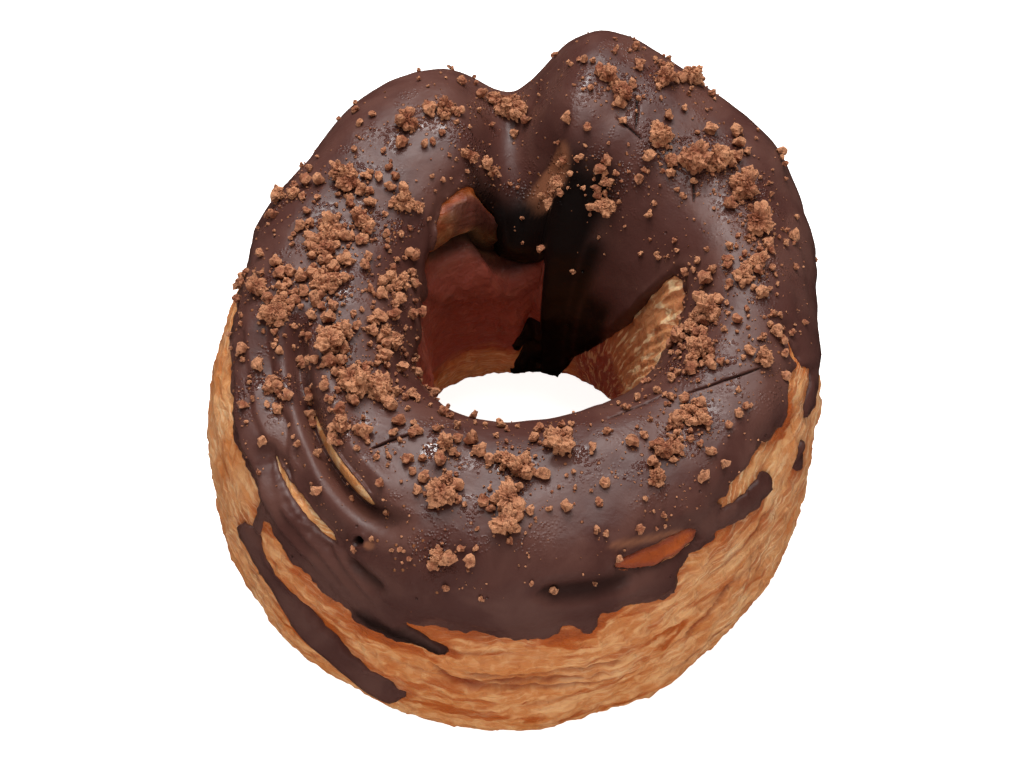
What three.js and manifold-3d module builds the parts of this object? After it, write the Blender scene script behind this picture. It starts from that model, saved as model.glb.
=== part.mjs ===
// A danish doughnut: a tall ring of laminated dough, its top dipped in dark chocolate
// and strewn with cookie crumbs. Millimetres, +Z up, standing on its flat base.
//
// Round the ring, 0 degrees is +X, 90 is the far side with the dough's seam, 270 is the near side.
// Round the section, 0 degrees is the outer girth, 90 the crest, 180 the hole's wall, 270 the base.

import * as THREE from "three";
import { mergeVertices } from "three/addons/utils/BufferGeometryUtils.js";
import Module from "manifold-3d";

// Driving dimensions of the ring
const GIRTH_RADIUS = 45.2;
const HOLE_RADIUS = 14.3;
const RING_HEIGHT = 47.6;
const WAIST_SHARE = 0.42; // height of the widest line, as a share of the height
const BASE_SETTLE = 0.8; // how far the risen base is pressed flat
const OVAL = { at: 56, by: 2.5 }; // the ring is longer along this direction
// Side where the hole opens upwards, how far the crest leans away from it, and where that starts
const HOLE_FLARE = { at: 40, lean: 2.0, from: -0.2, full: 0.8 };

// Squareness of the section's quarters: 2 is an ellipse, more is boxier
const SQUARE = { outerTop: 2.6, holeTop: 3.2, holeFlared: 1.9, underside: 3.6 };

// Swellings of the uneven ring: where they are, how far they spread, how much they add
const GIRTH_SWELLS = [
  { at: 70, span: 17, by: 5.0 }, // far right lobe
  { at: 40, span: 12, by: 2.2 },
  { at: 112, span: 22, by: 3.2 }, // far left lobe
  { at: 90, span: 8, by: -2.8 }, // seam between the lobes
  { at: 235, span: 35, by: -2.4 },
  { at: 165, span: 34, by: -2.0 },
  { at: 9, span: 20, by: -3.8 },
];
const CREST_SWELLS = [
  { at: 70, span: 18, by: 4.4 },
  { at: 87, span: 6.5, by: -5.8 }, // two sides of the seam
  { at: 95, span: 7, by: -5.6 },
  { at: 270, span: 60, by: 0.9 },
];
const HOLE_SWELLS = [
  { at: 90, span: 40, by: -1.8 },
  { at: 270, span: 40, by: -1.4 },
  { at: 180, span: 40, by: 1.2 },
  { at: 181, span: 26, by: -4.0 }, // flat left wall
  { at: 0, span: 40, by: 1.8 },
];

// Laminated layers on the outer side: grooves a pitch apart, dipping towards the near side
const LAYERS = { lowest: 9, pitch: 7, count: 4, depth: 1.0, rows: 3 };
const LAYER_DIP = { at: 268, span: 50, by: -4.0 };
// Each layer swells and thins round the ring, out of step with the one below it
const LAYER_SWELL = { by: 0.35, rounds: 3, shift: 137 };
// The dipped part of the section is lower by the icing's thickness, so that the icing lies flush
const DIPPED = { from: 55, to: 150, soft: 25 };

// Fold on the left of the top: outside its crease a terrace of dough lies lower, inside it a lip
// stands up. The crease falls outwards along the fold, and the angles are counted from it.
const FOLD = { from: 188, to: 244, soft: 7, crease: 88 };
const FOLD_FALL = { from: 205, to: 240, by: 18 };
const TERRACE = { from: -45, full: -10, edge: -2, step: 6, drop: 2.6 };
const FOLD_LIP = { at: 9, span: 7, by: 0.8 };
// Flap of a loose outer layer on the right, standing proud below a crease
const FLAP = { from: -14, to: 30, soft: 6, proud: 0.8 };
const FLAP_HEIGHT = { from: 16, to: 48, soft: 6 };
// Seam down the far wall of the hole, and the split between two layers beside it
const WALL_SEAM = { at: 82, span: 6, from: 105, to: 205, soft: 15, depth: 2.2 };
const WALL_SPLIT = { from: 88, to: 140, soft: 6, at: 145, span: 6, depth: 1.8 };

// Chocolate icing: its wall, its clearance to the dough, and the ramp at its edge
const ICING = { wall: 1.2, gap: 0.3, ramp: 2.2 };
// Height of the icing's outer edge, and the stretches where it hangs lower or stops higher
const ICING_EDGE = 40;
const EDGE_STRETCHES = [
  { from: 258, to: 303, soft: 1.5, by: -4.0 }, // near apron
  { from: 308, to: 347, soft: 3.0, by: 4.0 }, // high right shoulder
  { from: 186, to: 210, soft: 4.0, by: 2.3 }, // high left shoulder
  { from: 349, to: 384, soft: 2.5, by: -5.5 }, // right flap
];
const EDGE_DRIPS = [
  { at: 38, span: 9, by: -9 },
  { at: 74, span: 8, by: -11 },
  { at: 112, span: 10, by: -9 },
  { at: 150, span: 9, by: -6 },
];
const EDGE_WAVES = [
  { rounds: 7, shift: 20, by: 0.7 },
  { rounds: 13, shift: 75, by: 0.5 },
];
const TONGUE = { from: 205, to: 257, by: -11.0 }; // left band that slants down to a tongue
// Section angle where the icing stops inside the hole, and where it runs further or less far down
const HOLE_EDGE = 158;
const HOLE_EDGE_STRETCHES = [
  { from: 52, to: 77, soft: 4, by: 55 }, // coated far down the wall
  { from: 27, to: 52, soft: 4, by: 14 },
  { from: -24, to: 26, soft: 3, by: -31 }, // bare strip on the right
  { from: 78, to: 95, soft: 3, by: -16 },
  { from: 95, to: 128, soft: 4, by: -38 }, // bare flap beside the seam
  { from: 128, to: 205, soft: 4, by: -16 }, // bare left wall
];
const SKIN_PER_DEGREE = 0.44; // length of the dough's skin for a degree of the section

// Streak of chocolate that ran down the left side, steeper at its start where the bend is under 1
const STREAK = { from: 213, to: 249, top: 39.5, bottom: 12.5, bend: 0.6 };
// Its section, how deep it lies in the dough, and how its lower end dives in
const STREAK_RUN = { wide: 3.6, thick: 2.0, sunk: 0.7, dive: 1.8, diveBend: 6, points: 12 };
// Lens of bare dough left open in the icing at the front
const WINDOW = { at: 298, height: 43, long: 5.8, tall: 1.5, deep: 2.6 };

// Heaps of cookie crumbs on the icing: how the crumbs of a heap spread round the ring and across it,
// then each heap's place, radius from the axis and number
const CRUMB = { smallest: 0.9, largest: 2.2, sunk: 0.8, jitter: 0.32, spread: 6, across: 2.4, seed: 20261 };
const HEAPS = [
  { at: 160, radius: 27, count: 5 },
  { at: 173, radius: 25, count: 3 },
  { at: 174, radius: 34, count: 1 },
  { at: 186, radius: 31, count: 3 },
  { at: 197, radius: 25.5, count: 2 },
  { at: 214, radius: 24, count: 4 },
  { at: 168, radius: 18, count: 2 },
  { at: 194, radius: 18, count: 2 },
  { at: 206, radius: 14.5, count: 2 },
  { at: 150, radius: 36, count: 2 },
  { at: 141, radius: 31, count: 2 },
  { at: 147, radius: 24, count: 2 },
  { at: 134, radius: 21, count: 3 },
  { at: 104, radius: 32, count: 2 },
  { at: 118, radius: 33, count: 2 },
  { at: 90, radius: 37, count: 3 },
  { at: 100, radius: 25, count: 2 },
  { at: 80, radius: 23, count: 1 },
  { at: 67, radius: 35, count: 2 },
  { at: 62, radius: 42, count: 3 },
  { at: 51, radius: 33, count: 2 },
  { at: 42, radius: 34.5, count: 2 },
  { at: 26, radius: 36, count: 3 },
  { at: 58, radius: 24, count: 2 },
  { at: 10, radius: 32, count: 3 },
  { at: 356, radius: 25.5, count: 3 },
  { at: 342, radius: 24.5, count: 3 },
  { at: 343, radius: 33, count: 1 },
  { at: 319, radius: 28.5, count: 3 },
  { at: 308, radius: 31.5, count: 3 },
  { at: 288, radius: 23.5, count: 1 },
  { at: 267, radius: 26, count: 2 },
  { at: 266, radius: 33, count: 2 },
  { at: 249, radius: 31, count: 2 },
  { at: 246, radius: 25, count: 1 },
  { at: 221, radius: 31, count: 2 },
  { at: 198, radius: 36, count: 1 },
  { at: 254, radius: 39, count: 1 },
];
const STEEPEST = 0.95; // furthest a crumb lies from the crest, as a share of the way to the walls

// Facets: steps round the ring, and rows over the top, down the hole and across the base
const RING_STEPS = 72;
const ROWS = { overTop: 10, holeWall: 4, base: 5 };
const HOLE_RIM = 145;
const HOLE_FOOT = 225;

const RADIANS = Math.PI / 180;
const { clamp, lerp, smoothstep } = THREE.MathUtils;

/** Difference between two directions, from -180 to 180 degrees. */
const wrap = (degrees) => ((((degrees + 180) % 360) + 360) % 360) - 180;

/** A soft bump round the ring or the section, 1 at its middle. */
const lobe = (ring, { at, span }) => Math.exp(-((wrap(ring - at) / span) ** 2));

/** The sum of several bumps, each with its own size. */
const swell = (ring, bumps) => bumps.reduce((sum, bump) => sum + bump.by * lobe(ring, bump), 0);

/** The sum of several waves round the ring. */
const wave = (ring, waves) =>
  waves.reduce((sum, { rounds, shift, by }) => sum + by * Math.sin((rounds * ring + shift) * RADIANS), 0);

/** 1 along a stretch of the ring or the section, 0 elsewhere, with soft ends. */
function along(ring, { from, to, soft }) {
  const half = (to - from) / 2;
  return 1 - smoothstep(Math.abs(wrap(ring - from - half)), half - soft, half + soft);
}

/** A repeatable draw of numbers from 0 to 1. */
function makeDraw(seed) {
  let state = seed;
  return () => {
    state = (Math.imul(state, 1664525) + 1013904223) >>> 0;
    return state / 2 ** 32;
  };
}

/** Sizes of the ring's section at a place round the ring. */
function section(ring) {
  const crest = RING_HEIGHT + swell(ring, CREST_SWELLS);
  return {
    outer: GIRTH_RADIUS + OVAL.by * Math.cos(2 * (ring - OVAL.at) * RADIANS) + swell(ring, GIRTH_SWELLS),
    hole: HOLE_RADIUS + swell(ring, HOLE_SWELLS),
    crest,
    waist: WAIST_SHARE * crest,
    flare: smoothstep(Math.cos((ring - HOLE_FLARE.at) * RADIANS), HOLE_FLARE.from, HOLE_FLARE.full),
  };
}

/** Radius from the axis and height of the plain risen ring, before its relief. */
function plainSkin(ring, turn) {
  const { outer, hole, crest, waist, flare } = section(ring);
  const across = Math.cos(turn * RADIANS);
  const up = Math.sin(turn * RADIANS);
  let square = SQUARE.underside;
  if (up >= 0) square = across > 0 ? SQUARE.outerTop : lerp(SQUARE.holeTop, SQUARE.holeFlared, flare);
  const reach = (Math.abs(across) ** square + Math.abs(up) ** square) ** (-1 / square);
  const middle = (outer + hole) / 2 + HOLE_FLARE.lean * flare * smoothstep(up * reach, 0, 1);
  return {
    radius: middle + across * reach * (across > 0 ? outer - middle : middle - hole),
    height: waist + up * reach * (up > 0 ? crest - waist : waist),
  };
}

/** Section angle on the outer side at a height. */
function turnAtHeight(ring, height) {
  const { crest, waist } = section(ring);
  const above = height > waist;
  const rise = (height - waist) / (above ? crest - waist : waist);
  const square = above ? SQUARE.outerTop : SQUARE.underside;
  return Math.atan2(rise, (1 - Math.abs(rise) ** square) ** (1 / square)) / RADIANS;
}

/** Section angle on the top at a radius from the axis. */
function turnAtRadius(ring, radius) {
  const { outer, hole, flare } = section(ring);
  const middle = (outer + hole) / 2 + HOLE_FLARE.lean * flare;
  const reach = radius > middle ? outer - middle : middle - hole;
  const off = clamp((radius - middle) / reach, -STEEPEST, STEEPEST);
  const square = off > 0 ? SQUARE.outerTop : lerp(SQUARE.holeTop, SQUARE.holeFlared, flare);
  return Math.atan2((1 - Math.abs(off) ** square) ** (1 / square), off) / RADIANS;
}

/** Height of a layer line, counted in layers from the lowest groove. */
function layerHeight(ring, layer) {
  const level = LAYERS.lowest + LAYERS.pitch * layer + LAYER_DIP.by * (lobe(ring, LAYER_DIP) - 1);
  return (level * section(ring).crest) / RING_HEIGHT;
}

/** How far a layer stands out: a round back between two grooves, swelling along the ring. */
function layerRelief(ring, layer) {
  if (layer < 0 || layer > LAYERS.count) return 0;
  const back = Math.sin(Math.PI * (layer - Math.floor(layer)));
  const turned = LAYER_SWELL.rounds * ring + LAYER_SWELL.shift * Math.floor(layer);
  return back * (LAYERS.depth - LAYER_SWELL.by * (1 + Math.sin(turned * RADIANS))) - LAYERS.depth;
}

/** How far the dough stands out of the plain ring: layers, fold, flap, seam, split and dipped top. */
function relief(ring, turn, layer) {
  const off = turn - FOLD.crease + FOLD_FALL.by * smoothstep(ring, FOLD_FALL.from, FOLD_FALL.to);
  const outside = 1 - smoothstep(off, TERRACE.edge, TERRACE.edge + TERRACE.step);
  const terrace = TERRACE.drop * smoothstep(off, TERRACE.from, TERRACE.full) * outside;
  return (
    layerRelief(ring, layer) -
    (ICING.gap + ICING.wall) * along(turn, DIPPED) +
    along(ring, FOLD) * (FOLD_LIP.by * lobe(off, FOLD_LIP) - terrace) +
    along(ring, FLAP) * along(turn, FLAP_HEIGHT) * FLAP.proud -
    lobe(ring, WALL_SEAM) * along(turn, WALL_SEAM) * WALL_SEAM.depth -
    along(ring, WALL_SPLIT) * lobe(turn, WALL_SPLIT) * WALL_SPLIT.depth
  );
}

/** A point of the plain ring. */
function plainPoint(ring, turn) {
  const { radius, height } = plainSkin(ring, turn);
  return new THREE.Vector3(radius * Math.cos(ring * RADIANS), radius * Math.sin(ring * RADIANS), height);
}

/** The direction that the plain ring's skin faces. */
function outward(ring, turn) {
  const step = 0.5; // degrees to either side
  const alongRing = plainPoint(ring + step, turn).sub(plainPoint(ring - step, turn));
  const alongSection = plainPoint(ring, turn + step).sub(plainPoint(ring, turn - step));
  return alongRing.cross(alongSection).normalize();
}

/** A point of the dough's skin, raised by a height along the skin's direction. */
function doughPoint(ring, turn, layer, raised) {
  const point = plainPoint(ring, turn);
  return point.addScaledVector(outward(ring, turn), relief(ring, turn, layer) + raised);
}

/** Distance inside the icing's edge, in mm: negative where the dough is bare. */
function iced(ring, turn) {
  if (turn < 90) {
    const drop = clamp((ring - TONGUE.from) / (TONGUE.to - TONGUE.from), 0, 1) * (ring < TONGUE.to ? 1 : 0);
    const stretches = EDGE_STRETCHES.reduce((sum, part) => sum + part.by * along(ring, part), 0);
    const hang = swell(ring, EDGE_DRIPS) + wave(ring, EDGE_WAVES) + TONGUE.by * drop;
    const edge = ICING_EDGE + stretches + hang;
    return plainSkin(ring, turn).height - (edge * section(ring).crest) / RING_HEIGHT;
  }
  const stretches = HOLE_EDGE_STRETCHES.reduce((sum, part) => sum + part.by * along(ring, part), 0);
  return (HOLE_EDGE + stretches - turn) * SKIN_PER_DEGREE;
}

/** Section angle and layer count of a row of facets. */
function rowPlace(ring, row) {
  const layerRows = LAYERS.count * LAYERS.rows;
  if (row <= layerRows) {
    const layer = row / LAYERS.rows;
    return { turn: turnAtHeight(ring, layerHeight(ring, layer)), layer };
  }
  const first = turnAtHeight(ring, layerHeight(ring, LAYERS.count));
  const last = 360 + turnAtHeight(ring, layerHeight(ring, 0));
  const bare = -1;
  let step = row - layerRows;
  if (step <= ROWS.overTop) return { turn: lerp(first, HOLE_RIM, step / ROWS.overTop), layer: bare };
  step -= ROWS.overTop;
  if (step <= ROWS.holeWall) return { turn: lerp(HOLE_RIM, HOLE_FOOT, step / ROWS.holeWall), layer: bare };
  step -= ROWS.holeWall;
  return { turn: lerp(HOLE_FOOT, last, step / (ROWS.base + 1)), layer: bare };
}

/** A closed ring of facets whose skin is raised off the dough by raise(ring, turn). */
function ringGeometry(raise, floor) {
  const rows = LAYERS.count * LAYERS.rows + 1 + ROWS.overTop + ROWS.holeWall + ROWS.base;
  const geometry = new THREE.TorusGeometry(1, 0.5, rows, RING_STEPS);
  const { position, uv } = geometry.attributes;
  for (let i = 0; i < position.count; i += 1) {
    const ring = ((Math.round(uv.getX(i) * RING_STEPS) % RING_STEPS) * 360) / RING_STEPS;
    const row = Math.round(uv.getY(i) * rows) % rows;
    const { turn, layer } = rowPlace(ring, row);
    const point = doughPoint(ring, turn, layer, raise(ring, turn));
    position.setXYZ(i, point.x, point.y, Math.max(point.z - BASE_SETTLE, floor));
  }
  return geometry;
}

/** Geometry with only its positions, shared corners merged. */
function weld(geometry) {
  geometry.deleteAttribute("normal");
  geometry.deleteAttribute("uv");
  return mergeVertices(geometry);
}

const wasm = await Module();
wasm.setup();

/** A closed geometry as a solid that can be joined and cut. */
function solidOf(geometry) {
  const welded = weld(geometry);
  const vertProperties = new Float32Array(welded.attributes.position.array);
  const triVerts = new Uint32Array(welded.index.array);
  return new wasm.Manifold(new wasm.Mesh({ numProp: 3, vertProperties, triVerts }));
}

/** The largest body of a solid, as a geometry with flat facets. */
function geometryOf(solid) {
  const bodies = solid.decompose().sort((a, b) => b.volume() - a.volume());
  const mesh = bodies[0].getMesh();
  const geometry = new THREE.BufferGeometry();
  geometry.setAttribute("position", new THREE.BufferAttribute(mesh.vertProperties, 3));
  geometry.setIndex(new THREE.BufferAttribute(mesh.triVerts, 1));
  geometry.computeVertexNormals();
  return geometry;
}

/** Raised height of the coat that the icing is cut from. */
function coatRaise(ring, turn) {
  const inside = turn > 270 ? -ICING.ramp : iced(ring, turn);
  return ICING.gap + ICING.wall * clamp(inside / ICING.ramp, -1, 1);
}

/** Where the streak lies at a share of its length. */
function streakPlace(share) {
  const ring = lerp(STREAK.from, STREAK.to, share);
  return { ring, turn: turnAtHeight(ring, lerp(STREAK.top, STREAK.bottom, share ** STREAK.bend)) };
}

/** The streak that ran down the left side, a flat run of chocolate half sunk in the dough. */
function streakGeometry() {
  const path = Array.from({ length: STREAK_RUN.points }, (_, i) => {
    const share = i / (STREAK_RUN.points - 1);
    const { ring, turn } = streakPlace(share);
    return doughPoint(ring, turn, -1, -STREAK_RUN.sunk - STREAK_RUN.dive * share ** STREAK_RUN.diveBend);
  });
  const steps = 2 * STREAK_RUN.points;
  const extrudePath = new THREE.CatmullRomCurve3(path);
  // Halfway along, the run's thin way faces out of the dough
  const { normals, binormals } = extrudePath.computeFrenetFrames(steps, false);
  const { ring, turn } = streakPlace(0.5);
  const out = outward(ring, turn);
  const tilt = Math.atan2(out.dot(binormals[steps / 2]), out.dot(normals[steps / 2]));
  const { thick, wide } = STREAK_RUN;
  const round = new THREE.Shape().absellipse(0, 0, thick, wide, 0, 2 * Math.PI, false, tilt);
  const geometry = new THREE.ExtrudeGeometry(round, { steps, curveSegments: 6, extrudePath });
  return geometry.translate(0, 0, -BASE_SETTLE);
}

/** The lens that opens a window of bare dough in the icing. */
function windowGeometry() {
  const turn = turnAtHeight(WINDOW.at, WINDOW.height);
  const geometry = new THREE.SphereGeometry(1, 12, 6).scale(WINDOW.deep, WINDOW.long, WINDOW.tall);
  geometry.rotateY(-turn * RADIANS).rotateZ(WINDOW.at * RADIANS);
  const { x, y, z } = doughPoint(WINDOW.at, turn, -1, ICING.gap);
  return geometry.translate(x, y, z - BASE_SETTLE);
}

/** One crumb, a broken lump of a size, set on the icing at a place. */
function crumbGeometry(ring, turn, size, draw) {
  const geometry = weld(new THREE.IcosahedronGeometry(size, 0));
  const { position } = geometry.attributes;
  for (let i = 0; i < position.count; i += 1) {
    const pull = 1 - CRUMB.jitter * draw();
    position.setXYZ(i, position.getX(i) * pull, position.getY(i) * pull, position.getZ(i) * pull);
  }
  geometry.rotateX(draw() * Math.PI).rotateZ(draw() * Math.PI);
  const { x, y, z } = doughPoint(ring, turn, -1, ICING.gap + ICING.wall + size - CRUMB.sunk);
  return geometry.translate(x, y, z - BASE_SETTLE);
}

/** All crumbs of the heaps, each where it fell on the iced top. */
function crumbGeometries() {
  const draw = makeDraw(CRUMB.seed);
  const bell = () => draw() + draw() - 1;
  return HEAPS.flatMap(({ at, radius, count }) =>
    Array.from({ length: count }, () => {
      const ring = (at + CRUMB.spread * bell() + 360) % 360;
      const turn = turnAtRadius(ring, radius + CRUMB.across * bell());
      return crumbGeometry(ring, turn, lerp(CRUMB.smallest, CRUMB.largest, draw() ** 2), draw);
    }),
  );
}

/** The icing: the coat with its streak, window and crumbs, less the dough and the clearance to it. */
function icingGeometry() {
  const below = -10;
  let icing = solidOf(ringGeometry(coatRaise, below)).add(solidOf(streakGeometry()));
  icing = icing.subtract(solidOf(windowGeometry()));
  for (const crumb of crumbGeometries()) icing = icing.add(solidOf(crumb));
  return geometryOf(icing.subtract(solidOf(ringGeometry(() => ICING.gap, below))));
}

/** A named piece of the doughnut with its own finish. */
function piece(name, geometry, color, roughness) {
  const material = new THREE.MeshStandardMaterial({ color, roughness, metalness: 0 });
  const mesh = new THREE.Mesh(geometry, material);
  mesh.name = name;
  return mesh;
}

const doughnut = new THREE.Group();
doughnut.add(piece("dough_ring", weld(ringGeometry(() => 0, 0)), 0xb5754c, 0.75));
doughnut.add(piece("chocolate_icing", icingGeometry(), 0x4d332d, 0.4));

// The origin is under the middle of the doughnut's box
const box = new THREE.Box3().setFromObject(doughnut);
const middle = box.getCenter(new THREE.Vector3());
doughnut.position.set(-middle.x, -middle.y, -box.min.z);

export default doughnut;
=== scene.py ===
"""A danish doughnut: a ring of laminated dough, dipped in dark chocolate and strewn with cookie crumbs.

Shapes are worked out in millimetres on the ring. Ring degrees go round the hole: 0 is +X, 90 the far
side with the dough's seam, 270 the near side. Turn degrees go round the dough's section: 0 is the
outer girth, 90 the crest, 180 the hole's wall, 270 the base.
"""

import logging
from collections.abc import Callable, Iterator
from dataclasses import dataclass
from enum import Enum
from functools import cached_property, partial

import bmesh
import bpy
import numpy as np
from mathutils import Matrix, Vector


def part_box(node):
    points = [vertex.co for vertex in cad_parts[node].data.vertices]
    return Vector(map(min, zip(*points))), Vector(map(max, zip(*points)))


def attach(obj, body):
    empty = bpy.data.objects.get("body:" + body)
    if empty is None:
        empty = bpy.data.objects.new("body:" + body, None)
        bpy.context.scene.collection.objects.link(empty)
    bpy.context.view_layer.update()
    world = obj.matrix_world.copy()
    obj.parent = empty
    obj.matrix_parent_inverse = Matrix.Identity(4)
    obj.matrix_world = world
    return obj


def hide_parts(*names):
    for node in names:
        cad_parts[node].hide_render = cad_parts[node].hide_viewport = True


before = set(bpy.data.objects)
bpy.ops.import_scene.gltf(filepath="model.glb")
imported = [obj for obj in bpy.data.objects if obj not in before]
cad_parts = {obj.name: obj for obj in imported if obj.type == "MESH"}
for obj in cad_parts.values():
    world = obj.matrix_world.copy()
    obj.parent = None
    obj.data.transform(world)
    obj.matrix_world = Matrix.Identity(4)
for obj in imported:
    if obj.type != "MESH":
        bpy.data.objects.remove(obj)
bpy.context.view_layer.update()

log = logging.getLogger("danish_doughnut")
Floats = np.ndarray
MILLIMETRE = 0.001
BODY = "root"


class Node(Enum):
    """The solids of the frame that the pieces here stand for."""

    DOUGH = "dough_ring"
    ICING = "chocolate_icing"


class Slot(Enum):
    """The record's material slots."""

    DOUGH = "laminated_dough"
    CHOCOLATE = "dark_chocolate"
    CRUMB = "cookie_crumb"


def wrap(degrees: Floats) -> Floats:
    """Degrees brought to the range from -180 to 180."""
    return (degrees + 180.0) % 360.0 - 180.0


def ramp(value: Floats, low: Floats, high: Floats) -> Floats:
    """A smooth step from 0 at low to 1 at high."""
    share = np.clip((value - low) / (high - low), 0.0, 1.0)
    return share * share * (3.0 - 2.0 * share)


def blend(start: Floats, stop: Floats, share: Floats) -> Floats:
    """A value between start and stop."""
    return start + (stop - start) * share


def bell(value: Floats, middle: float, spread: float) -> Floats:
    """A soft peak of 1 at the middle."""
    return np.exp(-(((value - middle) / spread) ** 2))


@dataclass(frozen=True)
class Bump:
    """A soft swelling round the ring or the section: its middle, its spread and what it adds."""

    at: float
    span: float
    by: float = 1.0

    def over(self, degrees: Floats) -> Floats:
        """What the bump adds at some degrees."""
        return self.by * bell(wrap(degrees - self.at), 0.0, self.span)


@dataclass(frozen=True)
class Stretch:
    """A stretch of the ring or the section with soft ends, and what it adds."""

    start: float
    stop: float
    soft: float
    by: float = 1.0

    def over(self, degrees: Floats) -> Floats:
        """What the stretch adds.

        Args:
            degrees: Degrees round the ring or the section.

        Returns:
            Its share of what it adds, at each of them.
        """
        half = (self.stop - self.start) / 2.0
        off = np.abs(wrap(degrees - self.start - half))
        return self.by * (1.0 - ramp(off, half - self.soft, half + self.soft))


@dataclass(frozen=True)
class Wave:
    """A wave round the ring: its number of rounds, its shift in degrees and its height."""

    rounds: float
    shift: float
    by: float

    def over(self, degrees: Floats) -> Floats:
        """What the wave adds at some degrees."""
        return self.by * np.sin(np.radians(self.rounds * degrees + self.shift))


class Ripples:
    """Smooth random unevenness of one size, a seeded sum of plane waves in space."""

    def __init__(self, seed: int, size: float, by: float = 1.0, waves: int = 24) -> None:
        """Draws the waves.

        Args:
            seed: Seed of the draw.
            size: Typical distance from hump to hump, in mm.
            by: Height of most humps.
            waves: Number of waves in the sum.
        """
        draw = np.random.default_rng(seed)
        ways = draw.normal(size=(waves, 3))
        ways /= np.linalg.norm(ways, axis=1, keepdims=True)
        self.waves = ways * (2.0 * np.pi / size) * draw.uniform(0.6, 1.5, (waves, 1))
        self.shifts = draw.uniform(0.0, 2.0 * np.pi, waves)
        self.by = by * np.sqrt(1.0 / waves)

    def over(self, points: Floats) -> Floats:
        """Unevenness at points."""
        return self.by * sum(np.sin(points @ way + shift) for way, shift in zip(self.waves, self.shifts))


def total(parts: tuple, places: object) -> Floats:
    """The sum of what some parts add at some places."""
    return sum(part.over(places) for part in parts)


def most(parts: tuple, places: object) -> Floats:
    """The most that one of some parts adds at some places."""
    return np.max([part.over(places) for part in parts], axis=0)


@dataclass(frozen=True)
class Section:
    """Sizes of the ring's section at places round the ring, in mm."""

    outer: Floats
    hole: Floats
    crest: Floats
    waist: Floats
    flare: Floats


@dataclass(frozen=True)
class RingForm:
    """The plain risen ring, before its relief."""

    girth_radius: float = 45.2
    hole_radius: float = 14.3
    height: float = 47.6
    waist_share: float = 0.42
    base_settle: float = 0.8
    oval: Wave = Wave(2.0, -22.0, 2.5)
    lean: float = 2.0
    flare_at: float = 40.0
    flare_range: tuple = (-0.2, 0.8)
    square_outer: float = 2.6
    square_hole: float = 3.2
    square_flared: float = 1.9
    square_under: float = 3.6
    skin_per_degree: float = 0.44
    steepest: float = 0.95
    girth_swells: tuple = (
        Bump(72, 15, 5.0), Bump(40, 12, 2.2), Bump(112, 22, 3.2), Bump(90, 8, -2.8), Bump(235, 35, -2.4),
        Bump(165, 34, -2.0), Bump(9, 20, -3.8), Bump(66, 7, -1.0), Bump(50, 5, 0.7),
    )
    crest_swells: tuple = (
        Bump(72, 16, 4.2), Bump(87, 6.5, -5.8), Bump(95, 7, -5.6), Bump(270, 60, 0.9), Bump(66, 7, -0.7),
    )
    hole_swells: tuple = (
        Bump(90, 40, -1.8), Bump(270, 40, -1.4), Bump(180, 40, 1.2), Bump(181, 26, -4.0), Bump(0, 40, 1.8),
    )

    def section(self, ring: Floats) -> Section:
        """Sizes of the section.

        Args:
            ring: Degrees round the ring.

        Returns:
            The sizes there, in mm.
        """
        crest = self.height + total(self.crest_swells, ring)
        return Section(
            outer=self.girth_radius + self.oval.over(ring) + total(self.girth_swells, ring),
            hole=self.hole_radius + total(self.hole_swells, ring),
            crest=crest,
            waist=self.waist_share * crest,
            flare=ramp(np.cos(np.radians(ring - self.flare_at)), *self.flare_range),
        )

    def plain(self, ring: Floats, turn: Floats) -> tuple[Floats, Floats]:
        """Radius from the axis and height of the plain skin.

        Args:
            ring: Degrees round the ring.
            turn: Degrees round the section.

        Returns:
            Radii and heights in mm.
        """
        part = self.section(ring)
        across = np.cos(np.radians(turn))
        up = np.sin(np.radians(turn))
        inner = blend(self.square_hole, self.square_flared, part.flare)
        square = np.where(up < 0, self.square_under, np.where(across > 0, self.square_outer, inner))
        reach = (np.abs(across) ** square + np.abs(up) ** square) ** (-1.0 / square)
        middle = (part.outer + part.hole) / 2.0 + self.lean * part.flare * ramp(up * reach, 0.0, 1.0)
        width = np.where(across > 0, part.outer - middle, middle - part.hole)
        rise = np.where(up > 0, part.crest - part.waist, part.waist)
        return middle + across * reach * width, part.waist + up * reach * rise

    def points(self, ring: Floats, turn: Floats) -> Floats:
        """Points of the plain skin.

        Args:
            ring: Degrees round the ring.
            turn: Degrees round the section.

        Returns:
            Points in mm, one row each.
        """
        radius, height = self.plain(ring, turn)
        angle = np.radians(ring)
        return np.stack([radius * np.cos(angle), radius * np.sin(angle), height], axis=1)

    def turn_at_height(self, ring: Floats, height: Floats) -> Floats:
        """Section angle on the outer side at a height.

        Args:
            ring: Degrees round the ring.
            height: Heights of the plain skin, in mm.

        Returns:
            Turn degrees.
        """
        part = self.section(ring)
        above = height > part.waist
        rise = (height - part.waist) / np.where(above, part.crest - part.waist, part.waist)
        square = np.where(above, self.square_outer, self.square_under)
        flat = np.clip(1.0 - np.abs(rise) ** square, 0.0, 1.0) ** (1.0 / square)
        return np.degrees(np.arctan2(rise, flat))

    def turn_at_radius(self, ring: Floats, radius: Floats) -> Floats:
        """Section angle on the top at a radius.

        Args:
            ring: Degrees round the ring.
            radius: Distances from the axis, in mm.

        Returns:
            Turn degrees.
        """
        part = self.section(ring)
        middle = (part.outer + part.hole) / 2.0 + self.lean * part.flare
        width = np.where(radius > middle, part.outer - middle, middle - part.hole)
        off = np.clip((radius - middle) / width, -self.steepest, self.steepest)
        inner = blend(self.square_hole, self.square_flared, part.flare)
        square = np.where(off > 0, self.square_outer, inner)
        return np.degrees(np.arctan2((1.0 - np.abs(off) ** square) ** (1.0 / square), off))


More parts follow.
